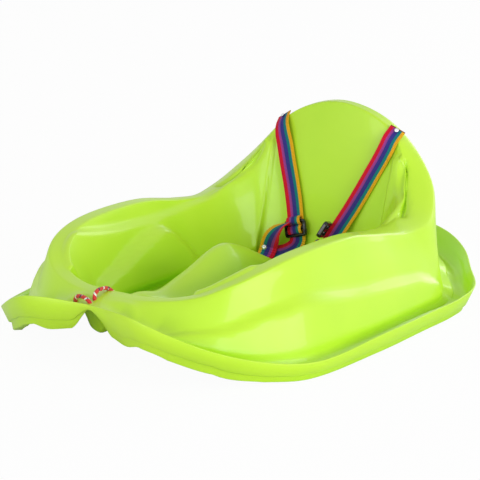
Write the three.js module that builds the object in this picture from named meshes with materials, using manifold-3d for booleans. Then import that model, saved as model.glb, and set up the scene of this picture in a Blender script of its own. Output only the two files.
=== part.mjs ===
// Baby pull sled: one moulded sheet tub on a dished deck, two riveted shoulder straps with
// sliding adjusters, and a tow rope laced through the bow. Millimetres, +Z up, bow towards -Y,
// +X is the left of the child who sits in it. The origin is on the ground under the middle.

import * as THREE from 'three';
import Module from 'manifold-3d';

const wasm = await Module();
wasm.setup();

// Driving sizes of the moulding
const overallWidth = 500;
const overallLength = 670;
const overallHeight = 247;
const sheetThickness = 3;
const rimBandWidth = 22;
const rimDrop = 6;
const gutterWidth = 21;
const runnerDepth = 8;
const runnerLedge = 3.5;
const runnerWidth = 12;
const seatHeight = 20;
const humpHalfWidth = 60;
const deckHoleRadius = 4;

// Driving sizes of the harness
const webbingWidth = 25;
const webbingThickness = 1.6;
const webbingStandOff = 2.5;
const loopStandOff = 6;
const adjusterStandOffs = { left: 14, right: 4 };
const webbingStep = 7;
const strapEnd = 4.2;
const strapFlat = 11;
const flatSteps = 2;
const turnSteps = 4;
const tailForward = 5;
const tailBesideShare = 0.6;
const adjusterWidth = 33;
const adjusterHeight = 24;
const adjusterThickness = 3.5;
const adjusterBar = 3.4;
const adjusterCorner = 4;
const rivetHeadRadius = 4;
const rivetHeadHeight = 2.2;
const rivetShankRadius = 1.9;
const washerRadius = 4.6;
const washerThickness = 1;
const washerSeat = 0.6;
const washerReachShares = [0.6, 1.1];
const domeShares = [0.87, 0.5];
const slideUp = 25;
const slideDown = 4;

// Driving sizes of the tow rope
const ropeDiameter = 5;
const ropeStep = 11;
const knotRadius = 6;
const knotLengthShare = 0.8;
const coilTurnRadius = 26.5;
const coilPitch = 5.6;
const coilForward = 110;
const climbDipShare = 0.25;
const tieWidth = 8;
const tieThickness = 1.1;

// Clearances
const clearance = 0.3;
const slideClearance = 0.4;
const sheetClearance = 0.8;
const overrun = 4;

// Counts
const samplesPerSpan = 2;
const gutterSteps = 3;
const turnsPerLayer = 3;
const stepsPerTurn = 24;
const coilSides = 6;
const ropeSides = 8;
const roundSides = 16;

// Shares of the half width, half length and height, from the middle of the bow round the
// left side to the middle of the stern.
const lipShares = [
  [0, -0.94, 0.346], [0.108, -0.955, 0.352], [0.213, -0.985, 0.362], [0.337, -1, 0.353],
  [0.48, -0.957, 0.292], [0.65, -0.85, 0.2], [0.82, -0.71, 0.132], [0.944, -0.54, 0.1],
  [1, -0.15, 0.119], [1, 0.21, 0.117], [1, 0.415, 0.121], [0.973, 0.546, 0.14],
  [0.86, 0.66, 0.184], [0.715, 0.798, 0.228], [0.52, 0.912, 0.263], [0.28, 0.98, 0.283], [0, 1, 0.283],
];
const rimShares = [
  [0, -0.784, 0.356], [0.12, -0.778, 0.356], [0.22, -0.769, 0.36], [0.328, -0.745, 0.372],
  [0.432, -0.706, 0.397], [0.528, -0.64, 0.445], [0.592, -0.539, 0.49], [0.632, -0.375, 0.526],
  [0.644, -0.03, 0.526], [0.624, 0.207, 0.478], [0.604, 0.372, 0.466], [0.572, 0.5, 0.518],
  [0.508, 0.61, 0.64], [0.432, 0.667, 0.777], [0.336, 0.691, 0.879], [0.18, 0.697, 0.964], [0, 0.697, 1],
];
const seatShares = [
  [0, -0.682, 0], [0.12, -0.676, 0], [0.21, -0.664, 0], [0.288, -0.64, 0], [0.352, -0.592, 0],
  [0.4, -0.524, 0], [0.432, -0.434, 0], [0.456, -0.3, 0], [0.464, -0.03, 0], [0.456, 0.193, 0],
  [0.432, 0.327, 0], [0.408, 0.416, 0], [0.384, 0.47, 0], [0.336, 0.506, 0], [0.248, 0.53, 0],
  [0.128, 0.539, 0], [0, 0.542, 0],
];
// Height of the runner's underside as a share of the height, the runner's depth and the
// gutter's width as shares of their own sizes
const runnerShares = [
  [0.287, 0, 1], [0.235, 0.2, 1], [0.21, 1.7, 1], [0.206, 1.1, 1], [0.162, 1.4, 1], [0.087, 1.4, 1],
  [0.02, 1.05, 1], [0, 1, 1], [0, 1, 1], [0, 1, 1.05], [0, 1, 1.25], [0.012, 1, 1.5],
  [0.04, 1, 1.5], [0.07, 0.5, 1.3], [0.09, 0, 1.2], [0.1, 0, 1.1], [0.1, 0, 1.1],
];
// Where the outer wall's shoulder lies: its share of the way from gutter to rim, and its height
// as a share of the height
const shoulderShares = [
  [0.5, 0.345, 0], [0.5, 0.345, 0], [0.5, 0.31, 0], [0.5, 0.27, 0], [0.5, 0.27, 0], [0.5, 0.27, 0],
  [0.5, 0.29, 0], [0.45, 0.33, 0], [0.4, 0.26, 0], [0.35, 0.225, 0], [0.3, 0.2, 0], [0.3, 0.2, 0],
  [0.4, 0.22, 0], [0.5, 0.235, 0], [0.5, 0.24, 0], [0.5, 0.25, 0], [0.5, 0.25, 0],
];
// How far the bow's deck rises over the gutter's floor behind the lip and before the tub, as
// shares of the gutter's width
const deckShares = [[0.04, 0.04, 0], [0.66, 0.6, 0], [0.5, 0.3, 0], [0.1, 0, 0]];
// The lip's outward lean as a share of its wall's height, and how far the rim reaches out from
// and in from its crown as shares of its band
const edgeShares = [
  [0.3, 0.45, 0.4], [0.3, 0.45, 0.4], [0.3, 0.45, 0.4], [0.32, 0.45, 0.4], [0.36, 0.45, 0.4],
  [0.42, 0.48, 0.45], [0.46, 0.5, 0.45], [0.48, 0.5, 0.5], [0.46, 0.5, 0.5], [0.46, 0.65, 0.5],
  [0.46, 1.15, 0.4], [0.46, 1.6, 0.3], [0.5, 1.5, 0.25], [0.5, 0.95, 0.3], [0.5, 0.6, 0.35],
  [0.5, 0.45, 0.4], [0.5, 0.4, 0.4],
];
// The pommel's ridge along the middle: share of its full width, share of the half length, share
// of the height
const humpShares = [
  [1, -0.8, 0.235], [1, -0.64, 0.235], [1, -0.51, 0.205], [1, -0.345, 0.255], [1, -0.15, 0.332],
  [0.97, -0.06, 0.31], [0.78, 0.14, 0.186], [0.58, 0.28, 0.093], [0.4, 0.42, 0.02], [0.3, 0.5, 0],
  [0.3, 0.8, 0],
];
// Inner wall rings: share of the way in to the seat's edge, share of the wall's height left
const innerWallShares = [[0.3, 0.72], [0.55, 0.42], [0.8, 0.16]];
const outerWallShares = [0.3, 0.72];
// Seat rings: share of their width left, and of the way in from the ends left
const seatRingShares = [[0.84, 0.92], [0.66, 0.84], [0.48, 0.76], [0.31, 0.69], [0.15, 0.63], [0.04, 0.58]];
const seatCentreShare = -0.1;
// Where the seat's back is looked at from, behind the pommel
const backrestViewShare = 0.38;

const halfWidth = overallWidth / 2;
const halfLength = overallLength / 2;
const black = new THREE.MeshStandardMaterial({ color: 0x141416, roughness: 0.3, metalness: 0 });
const lime = new THREE.MeshStandardMaterial({ color: 0xb4ec3c, roughness: 0.28, metalness: 0 });
const webbing = new THREE.MeshStandardMaterial({ color: 0x6a3f9c, roughness: 0.8, metalness: 0 });
const rope = new THREE.MeshStandardMaterial({ color: 0xd8402c, roughness: 0.85, metalness: 0 });
const steel = new THREE.MeshStandardMaterial({ color: 0xc4c6c8, roughness: 0.32, metalness: 1 });

// Helpers that turn loops of points into closed solids

// A closed loop through rows for one side and their mirror images, as evenly stepped samples.
// The first value changes sign on the other side where the rows are places.
function loopThrough(rows, firstChangesSign) {
  const near = rows.map((row) => new THREE.Vector3(...row));
  const far = rows.slice(1, -1).reverse().map((row) => new THREE.Vector3(...row));
  if (firstChangesSign) {
    far.forEach((point) => point.setX(-point.x));
  }
  const curve = new THREE.CatmullRomCurve3([...near, ...far], true, 'centripetal');
  const count = (near.length + far.length) * samplesPerSpan;
  return Array.from({ length: count }, (_, index) => curve.getPoint(index / count));
}

function placesFrom(shares) {
  const rows = shares.map(([x, y, z]) => [x * halfWidth, y * halfLength, z * overallHeight]);
  return loopThrough(rows, true);
}

// Level unit vectors that point out of a loop
function outwardOf(loop) {
  return loop.map((_, index) => {
    const before = loop[(index + loop.length - 1) % loop.length];
    const after = loop[(index + 1) % loop.length];
    return new THREE.Vector3(after.y - before.y, before.x - after.x, 0).normalize();
  });
}

function ring(loop, place) {
  return loop.map((point, index) => place(point, index));
}

// Triangles that join each corner of a ring to the one straight across it
function bridged(sides) {
  const triangles = [];
  for (let side = 0; side < sides / 2; side += 1) {
    const across = sides - side;
    triangles.push([side, side + 1, across - 1], [side, across - 1, across % sides]);
  }
  return triangles.filter(([a, b, c]) => a !== b && b !== c && c !== a);
}

// A skin over rings of points, whose first and last rings are closed by a fan about a point
// each, or else straight across
function skinGeometry(rings, firstPoint, lastPoint) {
  const points = rings.flat();
  const sides = rings[0].length;
  const faces = [];
  for (let row = 0; row + 1 < rings.length; row += 1) {
    for (let side = 0; side < sides; side += 1) {
      const next = (side + 1) % sides;
      const here = row * sides;
      const there = here + sides;
      faces.push(here + side, there + side, there + next, here + side, there + next, here + next);
    }
  }
  const lastRow = (rings.length - 1) * sides;
  if (firstPoint) {
    points.push(firstPoint, lastPoint);
    for (let side = 0; side < sides; side += 1) {
      const next = (side + 1) % sides;
      faces.push(points.length - 2, side, next);
      faces.push(points.length - 1, lastRow + next, lastRow + side);
    }
  } else {
    bridged(sides).forEach(([a, b, c]) => {
      faces.push(a, b, c, lastRow + a, lastRow + c, lastRow + b);
    });
  }
  const geometry = new THREE.BufferGeometry();
  const values = points.flatMap((point) => [point.x, point.y, point.z]);
  geometry.setAttribute('position', new THREE.Float32BufferAttribute(values, 3));
  geometry.setIndex(faces);
  return volumeOf(geometry) < 0 ? insideOut(geometry) : geometry;
}

function volumeOf(geometry) {
  const position = geometry.attributes.position;
  const corners = [new THREE.Vector3(), new THREE.Vector3(), new THREE.Vector3()];
  let volume = 0;
  for (let face = 0; face < geometry.index.count; face += 3) {
    corners.forEach((corner, index) => corner.fromBufferAttribute(position, geometry.index.getX(face + index)));
    volume += corners[0].dot(corners[1].clone().cross(corners[2])) / 6;
  }
  return volume;
}

function insideOut(geometry) {
  const faces = Array.from(geometry.index.array);
  for (let face = 0; face < faces.length; face += 3) {
    [faces[face + 1], faces[face + 2]] = [faces[face + 2], faces[face + 1]];
  }
  geometry.setIndex(faces);
  return geometry;
}

// Merges the corners that share a place, so that the faces close on each other
function weld(geometry) {
  const source = geometry.index ? geometry.toNonIndexed() : geometry;
  const position = source.attributes.position;
  const seen = new Map();
  const values = [];
  const faces = [];
  for (let corner = 0; corner < position.count; corner += 1) {
    const place = [position.getX(corner), position.getY(corner), position.getZ(corner)];
    const key = place.map((value) => Math.round(value * 1e4)).join(' ');
    if (!seen.has(key)) {
      seen.set(key, values.length / 3);
      values.push(...place);
    }
    faces.push(seen.get(key));
  }
  const whole = [];
  for (let face = 0; face < faces.length; face += 3) {
    const [a, b, c] = faces.slice(face, face + 3);
    if (a !== b && b !== c && c !== a) {
      whole.push(a, b, c);
    }
  }
  const welded = new THREE.BufferGeometry();
  welded.setAttribute('position', new THREE.Float32BufferAttribute(values, 3));
  welded.setIndex(whole);
  return welded;
}

function toSolid(geometry) {
  const welded = weld(geometry);
  return new wasm.Manifold(new wasm.Mesh({
    numProp: 3,
    vertProperties: Float32Array.from(welded.attributes.position.array),
    triVerts: Uint32Array.from(welded.index.array),
  }));
}

function toGeometry(solid) {
  const mesh = solid.getMesh();
  const geometry = new THREE.BufferGeometry();
  geometry.setAttribute('position', new THREE.Float32BufferAttribute(mesh.vertProperties, 3));
  geometry.setIndex(Array.from(mesh.triVerts));
  return geometry;
}

function cut(geometry, cutters) {
  return toGeometry(cutters.reduce((solid, cutter) => solid.subtract(toSolid(cutter)), toSolid(geometry)));
}

// A frame whose Z axis is the given direction and whose X axis lies near the given side
function frameAlong(origin, direction, side) {
  const z = direction.clone().normalize();
  const x = side.clone().addScaledVector(z, -side.dot(z)).normalize();
  const y = z.clone().cross(x);
  return new THREE.Matrix4().makeBasis(x, y, z).setPosition(origin);
}

function rodBetween(from, to, radius) {
  const geometry = new THREE.CylinderGeometry(radius, radius, from.distanceTo(to), roundSides);
  geometry.rotateX(Math.PI / 2);
  const middle = from.clone().lerp(to, 0.5);
  const along = to.clone().sub(from);
  const side = Math.abs(along.x) < Math.abs(along.z) ? new THREE.Vector3(1, 0, 0) : new THREE.Vector3(0, 0, 1);
  return geometry.applyMatrix4(frameAlong(middle, along, side));
}

// The moulded shell

const lip = placesFrom(lipShares);
const rim = placesFrom(rimShares);
const seatEdge = placesFrom(seatShares);
const runner = loopThrough(runnerShares, false);
const shoulder = loopThrough(shoulderShares, false);
const edge = loopThrough(edgeShares, false);
const lipOut = outwardOf(lip);
const rimOut = outwardOf(rim);
const humpCurve = new THREE.CatmullRomCurve3(
  humpShares.map(([x, y, z]) => new THREE.Vector3(x * humpHalfWidth, y * halfLength, z * overallHeight)),
  false,
  'centripetal',
);
const humpLine = humpCurve.getPoints(humpShares.length * 6);

function humpRise(x, y) {
  const after = humpLine.findIndex((point) => point.y > y);
  if (after < 1) {
    return 0;
  }
  const [low, high] = [humpLine[after - 1], humpLine[after]];
  const ridge = low.clone().lerp(high, (y - low.y) / (high.y - low.y));
  const across = Math.min(Math.abs(x) / ridge.x, 1);
  return ridge.z * (1 - across * across) ** 2;
}

function seatPoint(x, y) {
  return new THREE.Vector3(x, y, seatHeight + humpRise(x, y));
}

const runnerBottom = runner.map((row) => Math.max(row.x, 0) * overallHeight);
const ledgeHeight = runnerBottom.map((height) => height + runnerDepth);
const deckRows = lipShares.map((_, index) => deckShares[index] ?? [0, 0, 0]);
const deckRise = loopThrough(deckRows, false).map((row) => row.multiplyScalar(gutterWidth));
const wallLean = edge.map((row, index) => row.x * (lip[index].z - ledgeHeight[index]));
const foot = ring(lip, (point, index) => (
  point.clone().addScaledVector(lipOut[index], -wallLean[index]).setZ(ledgeHeight[index])
));

function inFromFoot(distance, height) {
  return ring(foot, (point, index) => (
    point.clone().addScaledVector(lipOut[index], -distance(index)).setZ(height(index))
  ));
}

function topRings() {
  const floor = (index) => ledgeHeight[index] + sheetThickness;
  const gutterOuter = inFromFoot(() => sheetThickness, (index) => floor(index) + deckRise[index].x);
  const gutterInner = inFromFoot(
    (index) => runner[index].z * gutterWidth,
    (index) => floor(index) + deckRise[index].y,
  );
  const rimOuter = ring(rim, (point, index) => (
    point.clone().addScaledVector(rimOut[index], edge[index].y * rimBandWidth).setZ(point.z - rimDrop * Math.max(1, 2 * edge[index].y))
  ));
  const rimInner = ring(rim, (point, index) => (
    point.clone().addScaledVector(rimOut[index], -edge[index].z * rimBandWidth).setZ(point.z - rimDrop)
  ));
  const wallShoulder = ring(gutterInner, (point, index) => (
    point.clone().lerp(rimOuter[index], shoulder[index].x).setZ(shoulder[index].y * overallHeight)
  ));
  const seatRing = ring(seatEdge, (point) => seatPoint(point.x, point.y));
  const [lowShare, highShare] = outerWallShares;
  const innerRings = innerWallShares.map(([inwardShare, heightShare]) => ring(rimInner, (point, index) => {
    const level = seatRing[index];
    const height = THREE.MathUtils.lerp(level.z, point.z, heightShare);
    return point.clone().lerp(level, inwardShare).setZ(height);
  }));
  const middle = seatCentreShare * halfLength;
  const seatRings = seatRingShares.map(([acrossShare, alongShare]) => ring(seatEdge, (point) => (
    seatPoint(point.x * acrossShare, THREE.MathUtils.lerp(middle, point.y, alongShare))
  )));
  return [
    ring(lip, (point, index) => point.clone().addScaledVector(lipOut[index], -sheetThickness)),
    gutterOuter,
    gutterInner,
    ring(gutterInner, (point, index) => point.clone().lerp(wallShoulder[index], lowShare)),
    wallShoulder,
    ring(wallShoulder, (point, index) => point.clone().lerp(rimOuter[index], highShare)),
    rimOuter,
    rim,
    rimInner,
    ...innerRings,
    seatRing,
    ...seatRings,
  ];
}

// The same rings moved through the sheet along their own normals
function sunk(rings, row, depth) {
  const sides = rings[row].length;
  return rings[row].map((point, side) => {
    const outer = rings[row - 1][side];
    const inner = row + 1 < rings.length ? rings[row + 1][side] : point;
    const before = rings[row][(side + sides - 1) % sides];
    const after = rings[row][(side + 1) % sides];
    const normal = after.clone().sub(before).cross(inner.clone().sub(outer)).normalize();
    return point.clone().addScaledVector(normal, -depth);
  });
}

const upperRings = topRings();

function lowerRings() {
  const runnerLow = ledgeHeight.map((height, index) => height - runner[index].y * runnerDepth);
  const ledge = (index) => ledgeHeight[index];
  const inner = (index) => ledgeHeight[index] + deckRise[index].y;
  const low = (index) => runnerLow[index] + deckRise[index].y;
  const slope = sheetThickness / 2;
  return [
    lip,
    foot,
    inFromFoot(() => runnerLedge, ledge),
    inFromFoot(() => runnerLedge + slope, low),
    inFromFoot(() => runnerLedge + slope + runnerWidth, low),
    inFromFoot(() => runnerLedge + 2 * slope + runnerWidth, inner),
    ...upperRings.slice(gutterSteps).map((_, index) => sunk(upperRings, gutterSteps + index, sheetThickness)),
  ];
}

function uncutShell() {
  return skinGeometry([...upperRings.slice().reverse(), ...lowerRings()]);
}

const shellSkin = uncutShell();
const probeShell = new THREE.Mesh(shellSkin, new THREE.MeshBasicMaterial({ side: THREE.DoubleSide }));
const probe = new THREE.Raycaster();

function firstHit(origin, direction) {
  probe.set(origin, direction);
  const hit = probe.intersectObject(probeShell)[0];
  if (!hit) {
    return undefined;
  }
  const normal = hit.face.normal.clone();
  const facing = normal.dot(direction) > 0 ? normal.negate() : normal;
  return { point: hit.point, normal: facing, distance: hit.distance };
}

// The face of the seat's back at a place across and a height, seen from the middle of the tub
function backrestAt(x, z) {
  return firstHit(new THREE.Vector3(x, backrestViewShare * halfLength, z), new THREE.Vector3(0, 1, 0));
}

// The harness

// Shares of the half width and of the height of each strap's line, from the top rivet down to
// the adjuster, round the loop to the lower rivet and up again. The left strap hangs nearer the
// middle and is turned towards the bow's left, and its adjuster stands on edge beside it.
const harnessShares = {
  left: {
    side: 1,
    top: [[0.36, 0.855], [0.355, 0.82], [0.335, 0.76], [0.27, 0.62], [0.2, 0.48]],
    adjuster: [0.112, 0.285],
    bottom: [[0.14, 0.15], [0.23, 0.125]],
    anchor: [0.33, 0.14],
    tail: [[0.322, 0.19], [0.24, 0.22]],
  },
  right: {
    side: -1,
    top: [[0.36, 0.855], [0.345, 0.82], [0.32, 0.76], [0.27, 0.62], [0.22, 0.48]],
    adjuster: [0.16, 0.275],
    bottom: [[0.2, 0.145], [0.27, 0.125]],
    anchor: [0.34, 0.14],
    tail: [[0.35, 0.205], [0.3, 0.24]],
  },
};
const strapFacings = {
  left: new THREE.Vector3(0.3, -0.93, 0.2).normalize(),
  right: new THREE.Vector3(0.06, -0.97, 0.22).normalize(),
};
const adjusterTurns = { left: THREE.MathUtils.degToRad(92), right: 0 };
const seatFacing = new THREE.Vector3(0, -0.55, 0.83).normalize();

const strapHalf = webbingThickness / 2;
const strapLay = strapHalf + clearance;
const anchorPitch = webbingThickness + 10 * clearance;
const adjusterAhead = strapHalf + slideClearance + adjusterThickness / 2;
const tailAhead = adjusterAhead + adjusterThickness / 2 + strapLay;

// A place off the seat's back that keeps a band clear of it over its whole width
function offBackrest(side, [acrossShare, heightShare], standOff) {
  const x = side * acrossShare * halfWidth;
  const z = heightShare * overallHeight;
  const steps = [-1, 0, 1].map((step) => step * webbingWidth / 2);
  const hits = steps.flatMap((aside) => steps.map((above) => (
    backrestAt(x + aside, Math.max(z + above, seatHeight + sheetThickness))
  )));
  const nearest = Math.min(...hits.filter(Boolean).map((hit) => hit.point.y));
  return new THREE.Vector3(x, nearest - standOff, z);
}

// Where a strap's rivet goes: on the sheet, along the sheet's own normal, with the strap's
// middle as far out as its edges need
function anchorFor(side, row) {
  const hit = backrestAt(side * row[0] * halfWidth, row[1] * overallHeight);
  const across = new THREE.Vector3(hit.normal.z, 0, -hit.normal.x).normalize();
  const bulges = Array.from({ length: roundSides }, (_, corner) => {
    const arm = across.clone().applyAxisAngle(hit.normal, corner * 2 * Math.PI / roundSides);
    const beside = hit.point.clone().addScaledVector(arm, webbingWidth / 2);
    const besideHit = firstHit(
      beside.addScaledVector(hit.normal, webbingWidth),
      hit.normal.clone().negate(),
    );
    return besideHit ? webbingWidth - besideHit.distance : 0;
  });
  return { ...hit, rise: Math.max(0, ...bulges) + 2 * clearance, depth: depthBehind(hit) };
}

// How deep the sheet reaches behind a place on it, within a washer's size
function depthBehind(hit) {
  const far = 4 * sheetThickness;
  const sideways = hit.normal.clone().cross(new THREE.Vector3(1, 0, 0)).normalize();
  const depths = Array.from({ length: roundSides }, (_, corner) => {
    const arm = sideways.clone().applyAxisAngle(hit.normal, corner * 2 * Math.PI / roundSides);
    return washerReachShares.map((share) => {
      const beside = hit.point.clone().addScaledVector(arm, share * washerRadius);
      const back = firstHit(beside.addScaledVector(hit.normal, -far), hit.normal);
      return back ? far - back.distance : 0;
    });
  });
  return Math.max(sheetThickness, ...depths.flat());
}

function onAnchor(anchor, layer) {
  return anchor.point.clone().addScaledVector(anchor.normal, anchor.rise + strapLay + layer * anchorPitch);
}

// Where one side's adjuster sits: up the strap, across it and out of it
function adjusterPlace(name) {
  const shares = harnessShares[name];
  const above = offBackrest(shares.side, shares.top[shares.top.length - 1], webbingStandOff + strapHalf);
  const strap = offBackrest(shares.side, shares.adjuster, adjusterStandOffs[name] + strapHalf);
  const up = above.clone().sub(strap).normalize();
  const across = up.clone().cross(strapFacings[name]).normalize();
  const out = across.clone().cross(up).normalize();
  const turn = adjusterTurns[name];
  const facing = out.clone().applyAxisAngle(up, turn);
  const beside = webbingWidth / 2 + 2 * clearance + Math.cos(turn) * adjusterWidth / 2
    + Math.sin(turn) * adjusterThickness / 2;
  const centre = strap.clone()
    .addScaledVector(across, turn > 0 ? -beside : 0)
    .addScaledVector(out, turn > 0 ? adjusterWidth / 2 - adjusterStandOffs[name] / 2 : adjusterAhead);
  return { strap, up, across, out, facing, centre };
}

function alongStrap(place, distance) {
  return place.strap.clone().addScaledVector(place.up, distance);
}

// How far a band has to rise along its facing to clear the sheet over its whole width
function riseOffSheet(point, across, out, gap) {
  const rises = [-1, -0.5, 0, 0.5, 1].map((share) => {
    const above = point.clone().addScaledVector(across, share * webbingWidth / 2).addScaledVector(out, webbingWidth);
    const hit = firstHit(above, out.clone().negate());
    return hit ? webbingWidth + strapHalf + gap - hit.distance : 0;
  });
  return Math.max(0, ...rises);
}

// A flat band of webbing along a line of points, its faces square to the facings and clear of
// the sheet
function bandGeometry(points, facings, gap) {
  const rings = points.map((point, index) => {
    const before = points[Math.max(index - 1, 0)];
    const after = points[Math.min(index + 1, points.length - 1)];
    const along = after.clone().sub(before).normalize();
    const across = along.clone().cross(facings[index]).normalize();
    const out = across.clone().cross(along).normalize();
    const middle = point.clone().addScaledVector(out, riseOffSheet(point, across, out, gap));
    return [[1, 1], [-1, 1], [-1, -1], [1, -1]].map(([x, z]) => (
      middle.clone().addScaledVector(across, x * webbingWidth / 2).addScaledVector(out, z * strapHalf)
    ));
  });
  const ends = [rings[0], rings[rings.length - 1]].map((ring) => (
    ring.reduce((sum, corner) => sum.add(corner), new THREE.Vector3()).divideScalar(ring.length)
  ));
  return skinGeometry(rings, ...ends);
}

function evenPoints(points, step) {
  const curve = new THREE.CatmullRomCurve3(points, false, 'centripetal');
  return curve.getSpacedPoints(Math.max(Math.round(curve.getLength() / step), 2));
}

// Facings of a band: as given along its middle, as its anchors at its ends, and the flatter the
// lower it hangs
function bandFacings(points, first, facing, last) {
  return points.map((point, index) => {
    const sunk = 1 - THREE.MathUtils.smoothstep(point.z, seatHeight, seatHeight + 2 * webbingWidth);
    const turned = facing.clone().lerp(seatFacing, sunk).normalize();
    const [nearFirst, nearLast] = [index, points.length - 1 - index]
      .map((steps) => THREE.MathUtils.clamp(1 - (steps - flatSteps) / turnSteps, 0, 1));
    return turned.lerp(first, nearFirst).lerp(last, nearLast).normalize();
  });
}

// A band's last points, flat under its rivet: short of it, at it and a little past it
function laidFlat(end, before, normal) {
  const arrival = end.clone().sub(before).projectOnPlane(normal).normalize();
  return [-strapFlat, 0, strapEnd].map((distance) => end.clone().addScaledVector(arrival, distance));
}

function shoulderStrap(name) {
  const shares = harnessShares[name];
  const place = adjusterPlace(name);
  const [first, last] = [anchors[`${name}_upper`], anchors[`${name}_lower`]];
  const start = onAnchor(first, 0);
  const end = onAnchor(last, 0);
  const top = shares.top.slice(1, -1)
    .map((row) => offBackrest(shares.side, row, webbingStandOff + strapHalf));
  const bottom = shares.bottom
    .map((row) => offBackrest(shares.side, row, loopStandOff + strapHalf));
  const points = evenPoints([
    ...laidFlat(start, top[0], first.normal).reverse(),
    ...top,
    alongStrap(place, slideUp + adjusterHeight),
    alongStrap(place, slideUp / 2),
    place.strap,
    alongStrap(place, -slideDown - adjusterHeight / 2),
    alongStrap(place, -slideDown - adjusterHeight / 2 - overrun),
    ...bottom,
    ...laidFlat(end, bottom[bottom.length - 1], last.normal),
  ], webbingStep);
  const facings = bandFacings(points, first.normal, strapFacings[name], last.normal);
  return bandGeometry(points, facings, sheetClearance);
}

// A tail lies over the front of its adjuster from the side, or meets an adjuster that stands on
// edge from below
function tailEnds(name, place) {
  const front = adjusterThickness / 2 + strapLay;
  const sideways = place.up.clone().cross(place.facing);
  const below = adjusterHeight / 2 + slideDown + clearance;
  const ahead = place.centre.clone().addScaledVector(place.out, tailForward);
  return adjusterTurns[name] > 0 ? [
    ahead.clone().addScaledVector(place.up, -below - webbingWidth / 2),
    ahead.clone().addScaledVector(place.up, -below),
  ] : [
    place.centre.clone().addScaledVector(sideways, -tailBesideShare * adjusterWidth)
      .addScaledVector(place.facing, front + webbingThickness),
    place.centre.clone().addScaledVector(place.facing, front),
  ];
}

function strapTail(name) {
  const shares = harnessShares[name];
  const place = adjusterPlace(name);
  const last = anchors[`${name}_lower`];
  const start = onAnchor(last, 1);
  const rise = shares.tail.map((row) => (
    offBackrest(shares.side, row, webbingStandOff + strapHalf + tailAhead + webbingThickness)
  ));
  const points = evenPoints([
    ...laidFlat(start, rise[0], last.normal).reverse(),
    ...rise,
    ...tailEnds(name, place),
  ], webbingStep);
  const facings = bandFacings(points, last.normal, strapFacings[name], place.facing);
  return bandGeometry(points, facings, sheetClearance + anchorPitch);
}

function adjusterGeometry() {
  const [w, h, r] = [adjusterWidth / 2, adjusterHeight / 2, adjusterCorner];
  const outline = new THREE.Shape();
  outline.moveTo(-w + r, -h);
  outline.lineTo(w - r, -h);
  outline.quadraticCurveTo(w, -h, w, -h + r);
  outline.lineTo(w, h - r);
  outline.quadraticCurveTo(w, h, w - r, h);
  outline.lineTo(-w + r, h);
  outline.quadraticCurveTo(-w, h, -w, h - r);
  outline.lineTo(-w, -h + r);
  outline.quadraticCurveTo(-w, -h, -w + r, -h);
  const windowWide = w - adjusterBar;
  const windowLow = adjusterBar / 2;
  const windowHigh = h - adjusterBar;
  [1, -1].forEach((sign) => {
    const window = new THREE.Path();
    window.moveTo(-windowWide, sign * windowLow);
    window.lineTo(windowWide, sign * windowLow);
    window.lineTo(windowWide, sign * windowHigh);
    window.lineTo(-windowWide, sign * windowHigh);
    window.closePath();
    outline.holes.push(window);
  });
  const geometry = new THREE.ExtrudeGeometry(outline, {
    depth: adjusterThickness, bevelEnabled: false, curveSegments: 5,
  });
  return geometry.translate(0, 0, -adjusterThickness / 2);
}

// A rivet seen from its axis: dome, shank through strap and sheet, and turned-over end
function rivetProfile(depth) {
  const end = rivetHeadHeight / 2;
  const endRadius = rivetShankRadius + end;
  const [wideShare, narrowShare] = domeShares;
  return [
    [0, -depth - end], [endRadius * wideShare, -depth - end], [endRadius, -depth], [rivetShankRadius, -depth],
    [rivetShankRadius, 0], [rivetHeadRadius, 0], [rivetHeadRadius * wideShare, rivetHeadHeight * narrowShare],
    [rivetHeadRadius * narrowShare, rivetHeadHeight * wideShare], [0, rivetHeadHeight],
  ].map(([x, y]) => new THREE.Vector2(x, y));
}

function turned(profile, frame) {
  const geometry = new THREE.LatheGeometry(profile, roundSides);
  geometry.rotateX(Math.PI / 2);
  return geometry.applyMatrix4(frame);
}

function anchorFrame(anchor, height) {
  const origin = anchor.point.clone().addScaledVector(anchor.normal, height);
  return frameAlong(origin, anchor.normal, new THREE.Vector3(1, 0, 0));
}

function rivetGeometry(anchor) {
  const seat = anchor.rise + sheetClearance + anchor.layers * anchorPitch;
  const depth = seat + anchor.depth + washerThickness + washerSeat + clearance;
  return turned(rivetProfile(depth), anchorFrame(anchor, seat));
}

function washerGeometry(anchor) {
  const bore = rivetShankRadius + clearance;
  const profile = [
    [bore, 0], [bore, -washerThickness], [washerRadius, -washerThickness], [washerRadius, 0], [bore, 0],
  ].map(([x, y]) => new THREE.Vector2(x, y));
  return turned(profile, anchorFrame(anchor, -anchor.depth - washerSeat));
}

function rivetHole(anchor) {
  const reach = anchor.depth + overrun + anchor.rise;
  return rodBetween(
    anchor.point.clone().addScaledVector(anchor.normal, reach),
    anchor.point.clone().addScaledVector(anchor.normal, -reach),
    rivetShankRadius + clearance,
  );
}

const anchors = Object.fromEntries(Object.entries(harnessShares).flatMap(([name, shares]) => [
  [`${name}_upper`, { ...anchorFor(shares.side, shares.top[0]), layers: 1 }],
  [`${name}_lower`, { ...anchorFor(shares.side, shares.anchor), layers: 2 }],
]));
const anchorHoles = Object.values(anchors).map(rivetHole);

// The tow rope

const ropeRadius = ropeDiameter / 2;
const coilCentre = new THREE.Vector3(0, -coilForward, ropeRadius + tieThickness + 2 * clearance);

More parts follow.
